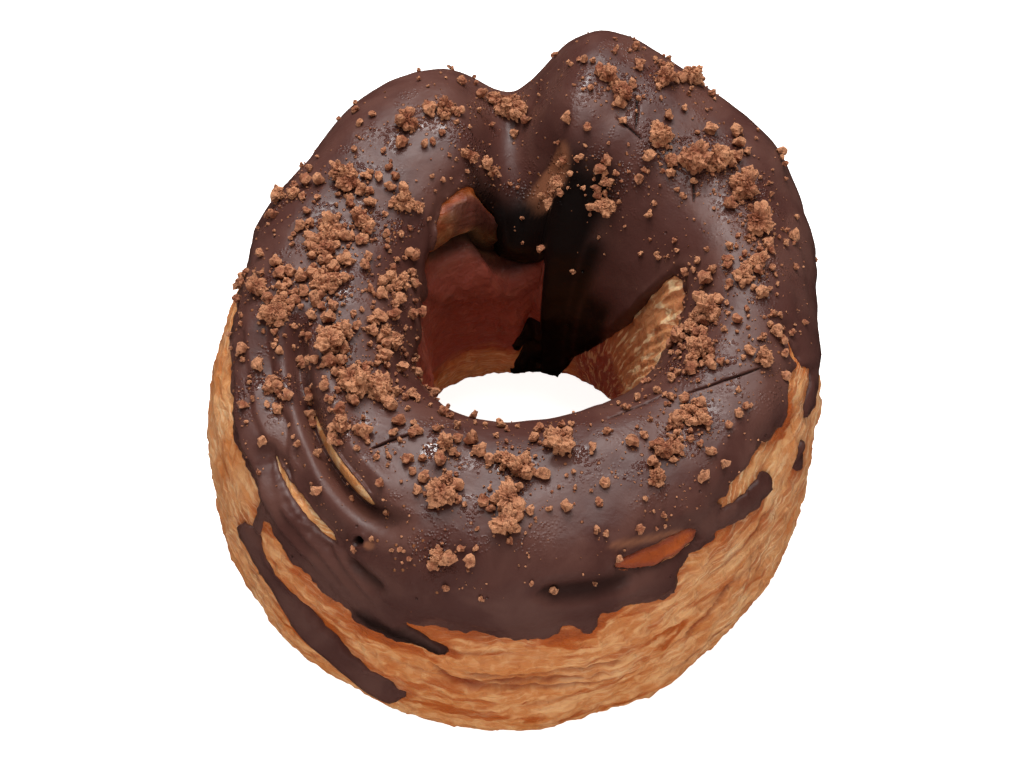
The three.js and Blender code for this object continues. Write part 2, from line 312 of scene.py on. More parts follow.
@dataclass(frozen=True)
class Spots:
    """Places on the ring's skin, by their degrees round the ring and round the section."""

    form: RingForm
    ring: Floats
    turn: Floats
    girth_edge: tuple = (78.0, 92.0)
    step: float = 0.5

    @cached_property
    def points(self) -> Floats:
        """The spots on the plain skin in mm, one row each."""
        return self.form.points(self.ring, self.turn)

    @cached_property
    def outside(self) -> Floats:
        """How far the spots belong to the ring's outer side, from 0 to 1."""
        return 1.0 - ramp(np.abs(wrap(self.turn)), *self.girth_edge)

    @cached_property
    def facing(self) -> Floats:
        """Where the plain skin faces.

        Returns:
            Directions of unit length, one row each.
        """
        ring, turn, step = self.ring, self.turn, self.step
        round_ring = self.form.points(ring + step, turn) - self.form.points(ring - step, turn)
        round_section = self.form.points(ring, turn + step) - self.form.points(ring, turn - step)
        facing = np.cross(round_ring, round_section)
        return facing / np.linalg.norm(facing, axis=1, keepdims=True)

    def raised(self, by: Floats) -> Floats:
        """Points off the plain skin, with the base pressed flat on the floor.

        Args:
            by: Distances off the skin, in mm.

        Returns:
            Points in mm, one row each.
        """
        points = self.points + self.facing * np.asarray(by)[:, None]
        points[:, 2] = np.maximum(points[:, 2] - self.form.base_settle, 0.0)
        return points


@dataclass(frozen=True)
class Trail:
    """A narrow mark on the skin along a few points: a slit, a crack, a dent or a run of chocolate.

    The points give ring and turn degrees, and heights in mm instead of turns for a mark on the side.
    """

    points: tuple
    start_width: float
    stop_width: float
    blunt: float = 0.35
    on_side: bool = False

    def inside(self, spots: Spots) -> Floats:
        """Distance inside the mark's edge.

        Args:
            spots: Places on the skin.

        Returns:
            Distances in mm, negative outside the mark.
        """
        form = spots.form
        marks = np.array(self.points, float)
        if self.on_side:
            marks[:, 1] = form.turn_at_height(marks[:, 0], marks[:, 1])
        lane = form.plain(*marks.mean(axis=0))[0]
        scale = np.array([np.radians(lane), form.skin_per_degree])
        place = np.stack([wrap(spots.ring - marks[0, 0]), spots.turn - marks[0, 1]], axis=1) * scale
        path = (marks - marks[0]) * scale
        lengths = np.linalg.norm(np.diff(path, axis=0), axis=1)
        reached = np.concatenate([[0.0], np.cumsum(lengths)])
        best = np.full(len(place), -np.inf)
        for index, length in enumerate(lengths):
            way = (path[index + 1] - path[index]) / length
            on = np.clip((place - path[index]) @ way, 0.0, length)
            gap = np.linalg.norm(place - path[index] - on[:, None] * way, axis=1)
            share = (reached[index] + on) / reached[-1]
            ends = np.clip(np.minimum(share, 1.0 - share) / self.blunt, 0.0, 1.0)
            width = blend(self.start_width, self.stop_width, share) * np.sqrt(ends * (2.0 - ends))
            best = np.maximum(best, width - gap)
        return best


@dataclass(frozen=True)
class Stroke:
    """A trail with a soft edge: what it adds, and how many mm inside its edge that starts and is full."""

    trail: Trail
    by: float
    start: float
    full: float

    def over(self, spots: Spots) -> Floats:
        """What the stroke adds at some spots."""
        return self.by * ramp(self.trail.inside(spots), self.start, self.full)


@dataclass(frozen=True)
class DoughRelief:
    """How the dough stands out of the plain ring: layers, fold, flap, seam, split and dipped top."""

    lowest: float = 9.0
    pitch: float = 7.0
    count: int = 4
    depth: float = 1.0
    dip: Bump = Bump(268, 50, -4.0)
    swell: float = 0.35
    swell_rounds: float = 3.0
    swell_shift: float = 137.0
    dipped: Stretch = Stretch(55, 150, 25, -1.5)
    fold: Stretch = Stretch(188, 244, 7)
    fold_crease: float = 86.8
    fold_fall: tuple = (205.0, 240.0, 18.0)
    terrace: tuple = (-45.0, -10.0, -2.0, 2.5)
    terrace_drop: float = 2.6
    fold_marks: tuple = (Bump(9, 7, 0.8), Bump(-5, 4, -1.2), Bump(-13, 5, 0.9))
    flap: Stretch = Stretch(-14, 30, 6, 0.8)
    flap_height: Stretch = Stretch(16, 48, 6)
    wall_seam: Bump = Bump(82, 6, -2.2)
    wall_seam_height: Stretch = Stretch(105, 205, 15)
    wall_split: Stretch = Stretch(88, 140, 6, -1.8)
    wall_split_height: Bump = Bump(145, 6)

    def level(self, spots: Spots) -> Floats:
        """Height counted in layers from the lowest groove."""
        even = spots.points[:, 2] * spots.form.height / spots.form.section(spots.ring).crest
        return (even - self.lowest - self.dip.over(spots.ring) + self.dip.by) / self.pitch

    def layers(self, ring: Floats, level: Floats, roundness: float = 1.0) -> Floats:
        """Relief of the main layers, round backs between grooves.

        Args:
            ring: Degrees round the ring.
            level: Height counted in layers.
            roundness: Below 1 the backs are fuller and the grooves narrower.

        Returns:
            Heights in mm, none above 0.
        """
        layer = np.floor(level)
        back = np.abs(np.sin(np.pi * (level - layer))) ** roundness
        turned = np.radians(self.swell_rounds * ring + self.swell_shift * layer)
        swollen = self.depth - self.swell * (1.0 + np.sin(turned))
        shown = ramp(level, -0.25, 0.0) * (1.0 - ramp(level, self.count, self.count + 0.45))
        return shown * (back * swollen - self.depth)

    def folds(self, spots: Spots) -> Floats:
        """Relief of everything but the layers.

        Args:
            spots: Places on the skin.

        Returns:
            Heights in mm.
        """
        ring, turn = spots.ring, spots.turn
        start, stop, fall = self.fold_fall
        off = turn - self.fold_crease + fall * ramp(ring % 360.0, start, stop)
        low, full, edge, top = self.terrace
        terrace = self.terrace_drop * ramp(off, low, full) * (1.0 - ramp(off, edge, top))
        return (
            self.dipped.over(turn)
            + self.fold.over(ring) * (total(self.fold_marks, off) - terrace)
            + self.flap.over(ring) * self.flap_height.over(turn)
            + self.wall_seam.over(ring) * self.wall_seam_height.over(turn)
            + self.wall_split.over(ring) * self.wall_split_height.over(turn)
        )


@dataclass(frozen=True)
class IcingCover:
    """Where the chocolate lies: its two edges, its runs, and the marks that were left bare."""

    edge_marks: tuple = (
        (0, 34.8), (21, 34.6), (27, 39.4), (60, 40), (120, 40), (170, 40.6), (186, 42), (194, 41.4),
        (204, 40), (210, 39.8), (217, 38.2), (223, 36.6), (230, 35.4), (235, 34.3), (242, 32.6),
        (246, 31.4), (249.6, 30.6), (250.6, 35.4), (256, 36.2), (262, 36), (272, 35.1), (279, 35.8),
        (285, 37.3), (292, 36.6), (297, 35.1), (299, 35.4), (300.6, 38), (304, 39.2), (310, 39.6),
        (313, 42.6), (318, 43.9), (326, 44), (335, 42.6), (340, 43.6), (345, 44.6), (349, 43.6),
        (352, 37.6), (356, 35),
    )
    edge_drips: tuple = (
        Bump(36, 12, -7), Bump(54, 5, -3), Bump(74, 7, -11), Bump(83, 5, -4), Bump(112, 13, -8),
        Bump(131, 6, -3), Bump(151, 9, -6),
    )
    hole_marks: tuple = (
        (0, 132), (8, 127.5), (17, 123.5), (21, 126.5), (22.5, 141), (23.8, 157), (31, 170), (41, 180.5),
        (52, 195), (60, 209), (66, 216.5), (73, 216), (75, 157), (81, 150), (89, 147), (94, 143), (96, 125),
        (104, 121), (112, 121.5), (119, 124.5), (131, 135.5), (139, 141), (147, 147), (204, 146), (216, 156),
        (240, 158), (330, 157), (350, 143),
    )
    runs: tuple = (
        Trail(((217.6, 41), (218.4, 33)), 1.0, 0.9, 0.2, on_side=True),
        Trail(((214.6, 32), (222, 26.8), (229, 22.9), (236, 19), (249, 12)), 2.7, 4.0, 0.07, on_side=True),
        Trail(((241, 34.5), (249, 32.6), (253, 32.2), (258.5, 30.8)), 2.9, 0.8, 0.1, on_side=True),
        Trail(((308, 42), (318, 39.6), (327.3, 38.6)), 1.5, 1.9, 0.12, on_side=True),
        Trail(((356, 39.5), (349, 38.6), (342, 38.2)), 2.4, 0.9, 0.2, on_side=True),
        Trail(((338.4, 36.6), (335.4, 32.4)), 1.2, 1.4, 0.3, on_side=True),
        Trail(((282.3, 38), (282.8, 34.4)), 1.3, 1.2, 0.3, on_side=True),
        Trail(((66, 192), (76, 201), (88, 210)), 3.0, 2.0, 0.3),
        Trail(((63, 214), (76, 214.5), (92.5, 209)), 1.5, 1.5, 0.1),
        Trail(((70, 186), (78, 190), (84, 196)), 4.0, 2.4, 0.3),
    )
    window: Trail = Trail(((288.5, 50.6), (297, 47.3), (306.5, 46.5)), 1.2, 1.8, 0.45)
    fold_edge: Trail = Trail(((210, 83.8), (221, 77.9), (229, 73.4), (237.5, 68)), 0.4, 1.1, 0.2)
    sliver: Trail = Trail(((213, 52.8), (224.5, 49), (234, 44.8)), 0.5, 0.8, 0.3)
    other_bare: tuple = (
        Trail(((313.5, 43.2), (318.5, 41.4)), 0.7, 0.8, 0.4, on_side=True),
        Trail(((353.5, 45.2), (349, 43.2), (343, 41.6)), 0.5, 1.0, 0.4, on_side=True),
        Trail(((277.6, 35.6), (280, 36.4)), 1.1, 0.8, 0.4, on_side=True),
    )
    ragged: tuple = (Ripples(11, 7.0, 0.3), Ripples(12, 2.4, 0.13), Ripples(13, 1.1, 0.06))

    def above_edge(self, spots: Spots) -> Floats:
        """Height above the icing's outer edge, without its runs and its bare marks.

        Args:
            spots: Places on the skin.

        Returns:
            Heights in mm, negative below the edge.
        """
        ring, form = spots.ring, spots.form
        edge = np.interp(ring, *zip(*self.edge_marks), period=360.0) + total(self.edge_drips, ring)
        return spots.points[:, 2] - edge * np.minimum(form.section(ring).crest / form.height, 1.0)

    def inside(self, spots: Spots) -> Floats:
        """Distance inside the icing's edge.

        Args:
            spots: Places on the skin.

        Returns:
            Distances in mm, negative where the dough is bare.
        """
        hole = np.interp(spots.ring, *zip(*self.hole_marks), period=360.0) - spots.turn
        cover = np.where(spots.turn < 90.0, self.above_edge(spots), hole * spots.form.skin_per_degree)
        cover = cover + total(self.ragged, spots.points)
        for run in self.runs:
            cover = np.maximum(cover, run.inside(spots))
        for mark in (self.window, self.fold_edge, self.sliver, *self.other_bare):
            cover = np.minimum(cover, -mark.inside(spots))
        return cover


def linear(colour: str) -> tuple[float, float, float, float]:
    """Linear colour of an sRGB colour.

    Args:
        colour: Its hex value.

    Returns:
        Red, green and blue from 0 to 1, and an alpha of 1.
    """
    shares = [int(colour[place : place + 2], 16) / 255.0 for place in (0, 2, 4)]
    parts = [share / 12.92 if share <= 0.04045 else ((share + 0.055) / 1.055) ** 2.4 for share in shares]
    return (*parts, 1.0)


def per_size(millimetres: float) -> float:
    """Texture scale in Object coordinates, which are metres, for a pattern of a size in mm."""
    return 1.0 / (millimetres * MILLIMETRE)


class Kind(Enum):
    """Shader nodes: the node's type, the inputs that are given in order, its output and its settings."""

    PLACE = ("TexCoord", (), "Object", {})
    ATTRIBUTE = ("Attribute", (), "Fac", {})
    LIGHT_PATH = ("LightPath", (), "Is Camera Ray", {})
    NOISE = ("TexNoise", ("Vector", "Scale", "Detail", "Distortion"), 0, {})
    CELLS = ("TexVoronoi", ("Vector", "Scale"), "Distance", {})
    STRETCHED = ("VectorMath", (0, 1), 0, {"operation": "MULTIPLY"})
    CHANNELS = ("SeparateColor", (0,), 0, {})
    SUM = ("Math", (0, 1), 0, {"operation": "ADD"})
    PRODUCT = ("Math", (0, 1), 0, {"operation": "MULTIPLY"})
    DIFFERENCE = ("Math", (0, 1), 0, {"operation": "SUBTRACT"})
    SMALLER = ("Math", (0, 1), 0, {"operation": "MINIMUM"})
    BELOW = ("Math", (0, 1), 0, {"operation": "LESS_THAN"})
    STEP = ("MapRange", ("Value", "From Min", "From Max", "To Max"), 0, {"interpolation_type": "SMOOTHSTEP"})
    SLIDE = ("MapRange", ("Value", "From Max", "To Min", "To Max"), 0, {})
    MIX = ("Mix", (0, 6, 7), 2, {"data_type": "RGBA"})
    BUMP = ("Bump", ("Height", "Distance", "Strength"), 0, {})
    SHADER = ("BsdfPrincipled", (), 0, {})
    RESULT = ("OutputMaterial", ("Surface",), None, {})


Adder = Callable[..., bpy.types.NodeSocket]


def add(
    tree: bpy.types.NodeTree, kind: Kind, *values: object, **named: object
) -> bpy.types.NodeSocket | None:
    """Adds a shader node with its settings and links.

    Args:
        tree: The material's node tree.
        kind: Which node.
        values: Values or output sockets for the inputs that the kind lists, in their order.
        named: Values or output sockets for other inputs, and values of the node's own settings.

    Returns:
        The output socket that the kind names, if it names one.
    """
    node_type, inputs, output, settings = kind.value
    node = tree.nodes.new("ShaderNode" + node_type)
    for key, value in (*settings.items(), *zip(inputs, values), *named.items()):
        if isinstance(key, str) and key not in node.inputs:
            setattr(node, key, value)
        elif isinstance(value, bpy.types.NodeSocket):
            tree.links.new(value, node.inputs[key])
        else:
            node.inputs[key].default_value = value
    return None if output is None else node.outputs[output]


@dataclass(frozen=True)
class Finish:
    """A material made of shader nodes."""

    name: str

    def make(self) -> bpy.types.Material:
        """Builds the material with its shader.

        Returns:
            The new material.
        """
        material = bpy.data.materials.new(self.name)
        material.use_nodes = True
        tree = material.node_tree
        tree.nodes.clear()
        add_here = partial(add, tree)
        add_here(Kind.RESULT, add_here(Kind.SHADER, **self.look(add_here)))
        return material

    def look(self, add: Adder) -> dict[str, object]:
        """Works out the look.

        Args:
            add: Adds a node to the material's tree.

        Returns:
            Values or sockets for the shader's inputs.
        """
        raise NotImplementedError

    @staticmethod
    def layered(add: Adder, ground: object, layers: tuple) -> bpy.types.NodeSocket:
        """Lays colours over each other.

        Args:
            add: Adds a node to the material's tree.
            ground: The colour below them all.
            layers: The share and the hex colour of each, from below.

        Returns:
            The socket of the colour that shows.
        """
        for share, colour in layers:
            ground = add(Kind.MIX, share, ground, linear(colour))
        return ground


@dataclass(frozen=True)
class FriedDough(Finish):
    """Laminated dough fried in fat: a golden, faintly glossy crust with soft orange and pale patches along
    its layers, thin pale flakes and dark veins, painted shade in its grooves, creases, slits and hole, a
    painted sheen on its left side, and red walls in the hole, partly the soft dough's own colour and partly
    painted red bounce light."""

    name: str = "fried_laminated_dough"
    golden: str = "C7793F"
    browned: str = "AE5219"
    toasted: str = "92421A"
    pale: str = "E2A972"
    flaked: str = "EDC696"
    # Painted shade in the grooves between layers, the side's creases and between the strip's fibres, mixed
    # with the crust's own dark veins.
    crease: str = "7E3216"
    # Deep red: on the hole's left wall partly the soft dough's own colour and partly painted red bounce
    # light; on the window's edge and the flap, painted shade.
    red: str = "9E4C3F"
    # Painted shade: near-black where the gap attribute marks the slit under the flap, the window's edge, the
    # flap and the shaded wall of the hole.
    painted_shade: str = "140B08"
    patch_mm: float = 3.6
    cloud_mm: float = 2.2
    thread_mm: float = 0.45
    drawn_out: tuple = (0.35, 0.35, 1.0)
    blister_mm: float = 1.5
    relief_mm: float = 0.3
    soft_mm: float = 1.2
    orange_at: tuple = (0.46, 0.61)
    toasted_at: tuple = (0.63, 0.8, 0.75)
    soft_at: tuple = (0.48, 0.66, 0.72)
    spot_at: tuple = (0.5, 0.66, 0.4)
    pit_at: tuple = (0.46, 0.32, 0.35)
    fleck_at: tuple = (0.52, 0.63)
    vein_at: tuple = (0.42, 0.3, 0.12)

    def look(self, add: Adder) -> dict[str, object]:
        """Works out the crust's look.

        Args:
            add: Adds a node to the material's tree.

        Returns:
            Values or sockets for the shader's inputs.
        """
        place = add(Kind.PLACE)
        grain = add(Kind.ATTRIBUTE, attribute_name="grain").node.outputs["Vector"]
        # The gap attribute holds painted shade.
        gap = add(Kind.ATTRIBUTE, attribute_name="gap")
        bake = add(Kind.ATTRIBUTE, attribute_name="bake").node.outputs
        brown, flake, crease = add(Kind.CHANNELS, bake["Color"]).node.outputs
        patch = add(Kind.NOISE, grain, 1.0 / self.patch_mm, 4.0, 1.0)
        cloud = add(Kind.NOISE, grain, 1.0 / self.cloud_mm, 4.0, 0.8)
        drawn = add(Kind.STRETCHED, grain, self.drawn_out)
        thread = add(Kind.NOISE, drawn, 1.0 / self.thread_mm, 3.0, 0.4)
        blister = add(Kind.NOISE, place, per_size(self.blister_mm), 3.0, 0.5)
        baked = add(Kind.SUM, patch, brown)
        orange = add(Kind.STEP, baked, *self.orange_at)
        plain = add(Kind.DIFFERENCE, 1.0, orange)
        soft = add(Kind.PRODUCT, add(Kind.STEP, cloud, *self.soft_at), plain)
        spot = add(Kind.PRODUCT, add(Kind.STEP, blister, *self.spot_at), plain)
        fleck = add(Kind.PRODUCT, add(Kind.STEP, thread, *self.fleck_at), flake)
        vein = add(Kind.SUM, add(Kind.STEP, thread, *self.vein_at), crease)
        layers = (
            (orange, self.browned),
            (add(Kind.STEP, baked, *self.toasted_at), self.toasted),
            (soft, self.pale),
            (spot, self.pale),
            (add(Kind.STEP, blister, *self.pit_at), self.browned),
            (add(Kind.PRODUCT, flake, 0.45), self.pale),
            (bake["Alpha"], self.red),
            (fleck, self.flaked),
            (add(Kind.SMALLER, vein, 1.0), self.crease),
            (gap, self.painted_shade),
        )
        surface = add(Kind.SUM, cloud, add(Kind.PRODUCT, thread, 0.5))
        surface = add(Kind.SUM, surface, add(Kind.PRODUCT, blister, 2.0))
        return {
            "Base Color": self.layered(add, linear(self.golden), layers),
            "Normal": add(Kind.BUMP, surface, self.relief_mm * MILLIMETRE, 0.7),
            "Roughness": add(Kind.DIFFERENCE, 0.72, add(Kind.PRODUCT, patch, 0.5)),
            "IOR": 1.38,
            "Subsurface Weight": 0.12,
            "Subsurface Radius": (1.0, 0.45, 0.2),
            "Subsurface Scale": self.soft_mm * MILLIMETRE,
        }


@dataclass(frozen=True)
class SetChocolate(Finish):
    """Dark chocolate that set on its own: a smooth satin brown skin, cloudy in places, with crumb dust sunk
    in it, lighter brown stains, patches of tiny glossy bumps that glint and pinholes of burst bubbles; with
    painted shade in its cracks, pits and dents and deep in the hole, and a painted highlight above the
    window."""

    name: str = "set_dark_chocolate"
    dark: str = "4D2D27"
    cloudy: str = "5B3A32"
    # Painted shade: near-black where the sunk attribute marks cracks, pits, dents and the hole's walls.
    deep_shade: str = "0B0706"
    dust: str = "8A5536"
    # Lighter brown of real stains, also used for a painted highlight on the lip above the window.
    stain_and_highlight_brown: str = "8E5A40"
    cloud_mm: float = 9.0
    dust_mm: float = 1.1
    glint_mm: float = 0.45
    patch_mm: float = 4.0
    pinhole_mm: float = 4.5
    dimple_mm: float = 1.5
    relief_mm: float = 0.35
    cloudy_at: tuple = (0.38, 0.62)
    speck_at: tuple = (0.26, 0.14)
    glint_at: tuple = (0.49, 0.57)
    bead_at: tuple = (0.6, 0.1)
    pinhole_at: tuple = (0.0, 0.06)
    roughness: tuple = (0.5, 0.4, 0.14)

    def look(self, add: Adder) -> dict[str, object]:
        """Works out the chocolate's look.

        Args:
            add: Adds a node to the material's tree.

        Returns:
            Values or sockets for the shader's inputs.
        """
        place = add(Kind.PLACE)
        dusty = add(Kind.ATTRIBUTE, attribute_name="dust")
        cloud = add(Kind.NOISE, place, per_size(self.cloud_mm), 4.0, 0.4)
        patch = add(Kind.NOISE, place, per_size(self.patch_mm), 2.0, 0.3)
        dimple = add(Kind.NOISE, place, per_size(self.dimple_mm), 3.0, 0.2)
        sizes = (self.dust_mm, self.glint_mm, self.pinhole_mm)
        specks, beads, holes = (add(Kind.CELLS, place, per_size(size)) for size in sizes)
        drawn = add(Kind.CHANNELS, specks.node.outputs["Color"])
        kept = add(Kind.BELOW, drawn, dusty)
        speck = add(Kind.PRODUCT, add(Kind.STEP, specks, *self.speck_at), kept)
        layers = (
            (add(Kind.STEP, cloud, *self.cloudy_at), self.cloudy),
            (speck, self.dust),
            # Painted shade, read from the sunk attribute.
            (add(Kind.ATTRIBUTE, attribute_name="sunk"), self.deep_shade),
            # Stains, and a painted highlight above the window.
            (add(Kind.ATTRIBUTE, attribute_name="stain_and_highlight"), self.stain_and_highlight_brown),
        )
        glinting = add(Kind.PRODUCT, add(Kind.STEP, patch, *self.glint_at), dusty)
        bead = add(Kind.PRODUCT, add(Kind.STEP, beads, *self.bead_at), glinting)
        surface = add(Kind.SUM, bead, add(Kind.PRODUCT, speck, 0.5))
        surface = add(Kind.SUM, surface, add(Kind.STEP, holes, *self.pinhole_at))
        surface = add(Kind.SUM, surface, add(Kind.PRODUCT, dimple, 0.3))
        return {
            "Base Color": self.layered(add, linear(self.dark), layers),
            "Normal": add(Kind.BUMP, surface, self.relief_mm * MILLIMETRE, 1.0),
            "Roughness": add(Kind.SLIDE, glinting, *self.roughness),
            "IOR": 1.34,
        }


@dataclass(frozen=True)
class BakedCrumb(Finish):
    """Broken biscuit: rough, dry and porous, orange-brown with darker pores, each crumb baked to its
    own tone, with painted shade darkening its crevices and lightening its knobs."""

    name: str = "baked_cookie_crumb"
    light: str = "C28661"
    dark: str = "884C33"
    pore: str = "562E1C"
    pore_mm: float = 0.5
    grain_mm: float = 0.22
    relief_mm: float = 0.3
    pore_at: tuple = (0.46, 0.3, 0.8)

    def look(self, add: Adder) -> dict[str, object]:
        """Works out the crumbs' look.

        Args:
            add: Adds a node to the material's tree.

        Returns:
            Values or sockets for the shader's inputs.
        """
        place = add(Kind.PLACE)
        # The tone attribute holds each crumb's own tone with painted shade in its crevices.
        tone = add(Kind.ATTRIBUTE, attribute_name="tone")
        pores = add(Kind.NOISE, place, per_size(self.pore_mm), 3.0, 0.3)
        grains = add(Kind.NOISE, place, per_size(self.grain_mm), 2.0, 0.3)
        layers = ((tone, self.light), (add(Kind.STEP, pores, *self.pore_at), self.pore))
        surface = add(Kind.SUM, pores, grains)
        return {
            "Base Color": self.layered(add, linear(self.dark), layers),
            "Normal": add(Kind.BUMP, surface, self.relief_mm * MILLIMETRE, 0.8),
            "Roughness": 0.85,
            "IOR": 1.4,
        }


@dataclass(frozen=True)
class PaleTable(Finish):
    """A white, evenly lit table top: bright to the eye all over, so that the thing on it throws almost
    no shadow, while it lights that thing only by what it reflects."""

    name: str = "pale_table"
    white: str = "F4F3F1"
    glow: float = 1.04

    def look(self, add: Adder) -> dict[str, object]:
        """Works out the table's look.

        Args:
            add: Adds a node to the material's tree.

        Returns:
            Values or sockets for the shader's inputs.
        """
        return {
            "Base Color": linear(self.white),
            "Roughness": 0.9,
            "Emission Color": linear(self.white),
            "Emission Strength": add(Kind.PRODUCT, add(Kind.LIGHT_PATH), self.glow),
        }


def places(bm: bmesh.types.BMesh) -> Floats:
    """Where a mesh's vertices are, one row each."""
    return np.array([vert.co for vert in bm.verts])


def move(bm: bmesh.types.BMesh, points: Floats) -> None:
    """Puts a mesh's vertices at points."""
    for vert, point in zip(bm.verts, points):
        vert.co = point


def set_values(mesh: bpy.types.Mesh, name: str, values: Floats) -> None:
    """Stores a value for each vertex: a number, a vector of three or a colour of four.

    Args:
        mesh: The mesh.
        name: The attribute's name.
        values: One value or row for each vertex.
    """
    width = 1 if values.ndim == 1 else values.shape[1]
    kind, key = {1: ("FLOAT", "value"), 3: ("FLOAT_VECTOR", "vector"), 4: ("FLOAT_COLOR", "color")}[width]
    mesh.attributes.new(name, kind, "POINT").data.foreach_set(key, values.astype(np.float32).ravel())


def make_piece(
    name: str,
    bm: bmesh.types.BMesh,
    finish: Finish,
    node: Node,
    slot: Slot,
    values: dict[str, Floats],
    smooth: bool = True,
) -> None:
    """Turns a mesh in metres into a finished piece of the doughnut.

    Args:
        name: The piece's name.
        bm: Its mesh, which is freed.
        finish: Its finish.
        node: The solid of the frame that it stands for.
        slot: The record's slot of its finish; not used.
        values: Values for each vertex that the finish reads.
        smooth: Whether its facets are shaded as one round skin.
    """
    mesh = bpy.data.meshes.new(name)
    bm.to_mesh(mesh)
    bm.free()
    for key, rows in values.items():
        set_values(mesh, key, rows)
    if smooth:
        mesh.shade_smooth()
    mesh.materials.append(finish.make())
    piece = bpy.data.objects.new(name, mesh)
    bpy.context.scene.collection.objects.link(piece)
    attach(piece, BODY)
    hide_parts(node.value)
    log.info("%s: %d triangles", name, sum(len(face.vertices) - 2 for face in mesh.polygons))


def weighed(marks: dict[str, Floats], weights: tuple) -> Floats:
    """The sum of some marks, each by its weight."""
    return sum(by * marks[name] for name, by in weights)


@dataclass
class DoughRing:
    """The laminated ring, with its layers, folds and browned skin."""

    form: RingForm
    relief: DoughRelief
    cover: IcingCover
    ring_steps: int = 420
    rows: int = 226
    crowding: float = 0.34
    sunk: float = 0.4
    sunk_edge: tuple = (0.2, 1.2)
    roundness: float = 0.6
    sub_layers: float = 4.1
    sub_depth: float = 0.3
    sub_middle: float = 0.45
    sub_shade: float = 0.4
    sub_edge: tuple = (0.82, 1.0)
    sub_line: tuple = (0.95, 0.09)
    wander: tuple = (Ripples(21, 26.0, 0.2), Ripples(20, 7.0, 0.05))
    groove_wander: float = 0.35
    groove_mm: float = 0.5
    grooved: tuple = (-0.3, 4.2)
    groove_share: float = 0.4
    groove_range: tuple = (0.12, 1.0)
    groove_depth: Ripples = Ripples(22, 24.0, 0.35)
    shade_share: float = 0.05
    shade_range: tuple = (0.0, 0.6)
    groove_shade: Ripples = Ripples(32, 22.0, 0.55)
    layers_shown: Ripples = Ripples(23, 11.0, 0.7)
    crags: tuple = (Ripples(27, 1.6, 0.1), Ripples(25, 3.2, 0.15), Ripples(26, 17.0, 0.3))
    near_crease: Bump = Bump(263, 20)
    near_level: float = 2.0
    near_spread: float = 0.6
    near_depth: float = 0.3
    near_shade: float = 0.2
    wall_pitch: float = 1.5
    wall_depth: float = 0.22
    wall_wander: Ripples = Ripples(24, 12.0, 0.8)
    strand_mm: float = 2.8
    strip: Stretch = Stretch(-24, 52, 4)
    strip_height: Stretch = Stretch(118, 250, 6)
    fan_apex: tuple = (36.0, 214.0)
    fan_foot: float = 5.0
    fan_mm: float = 48.0
    fan_strand: float = 10.0
    fibre_mm: float = 1.5
    fibre_shade: float = 0.28
    fibre_edge: tuple = (0.1, 0.9)
    fibre_wander: float = 2.5
    left_wall: Stretch = Stretch(66, 214, 5)
    left_wall_height: Stretch = Stretch(143, 194, 4)
    left_foot: Stretch = Stretch(199, 240, 5)
    lip_turn: float = 138.0
    wall_shade: tuple = (146.0, 172.0)
    creases: tuple = (
        Trail(((255.5, 26.8), (258.5, 22.9), (272, 21.4), (288, 19.8)), 0.5, 0.25, 0.3, on_side=True),
        Trail(((261, 25.6), (270, 24.6), (279, 24.7), (288, 23.8)), 0.3, 0.2, 0.4, on_side=True),
        Trail(((266, 23.2), (276, 22.8), (286, 21.9)), 0.3, 0.2, 0.4, on_side=True),
        Trail(((299, 19.8), (306, 22.8), (314, 27.2)), 0.3, 0.2, 0.4, on_side=True),
    )
    crease_edge: tuple = (-0.5, 0.2)
    crease_depth: float = 0.45
    crease_shade: float = 0.7
    low_streak: Trail = Trail(((252, 13.6), (258, 13), (266, 12.8), (274, 12.4)), 0.8, 0.6, 0.4, on_side=True)
    front_band: Bump = Bump(272, 16, 0.14)
    loose_flap: Trail = Trail(((133, 138.5), (118, 132), (106, 130), (96, 128)), 1.8, 3.0, 0.4)
    split: Trail = Trail(((134, 142), (120, 142.5), (108, 141.5), (99, 140), (90, 138)), 0.7, 1.1, 0.15)
    raised: tuple = (
        Stroke(loose_flap, 0.7, -0.6, 0.4),
        Stroke(split, -1.6, -0.9, 0.6),
        Stroke(IcingCover.fold_edge, 1.4, -0.9, 0.5),
        Stroke(IcingCover.window, 0.5, -0.9, 0.5),
    )
    bare_strips: tuple = (
        Stroke(IcingCover.fold_edge, 1.0, -0.8, 0.2),
        Stroke(IcingCover.sliver, 1.0, -0.8, 0.2),
    )
    flap_edge: tuple = (-0.6, 0.4)
    rim_edge: tuple = (0.2, 0.9)
    streak_edge: tuple = (-0.8, 0.4)
    split_edge: tuple = (-1.6, 0.2)
    under_edge_mm: float = 2.2
    flap_shade: Stretch = Stretch(84, 112, 6, 0.85)
    flap_shade_height: Stretch = Stretch(124, 150, 4)
    # Painted shade: the flap's far end darker and redder.
    shaded_flap: tuple = (124.0, 112.0)
    red_side: tuple = (155.0, 166.0)
    red_slant: float = 0.75
    orange: Stretch = Stretch(214, 252, 5, 0.04)
    orange_height: tuple = (22.0, 30.0)
    flaky: Bump = Bump(332, 38, 0.55)
    # Painted sheen: the outer skin on the left made paler and less brown, standing in for its glossy
    # reflection.
    painted_sheen: Bump = Bump(196, 34, 0.11)
    brown_by: tuple = (
        ("under_edge", 0.16), ("orange", 1.0), ("streak", 0.16), ("front", 1.0), ("window", 0.14),
        ("strip", -0.02), ("foot", -0.1), ("flap", -0.05), ("outside", -0.05), ("painted_sheen", -1.0),
        ("bare", -0.3),
    )
    flaked_by: tuple = (("outside", 0.15), ("flaky", 1.0), ("painted_sheen", 4.0))
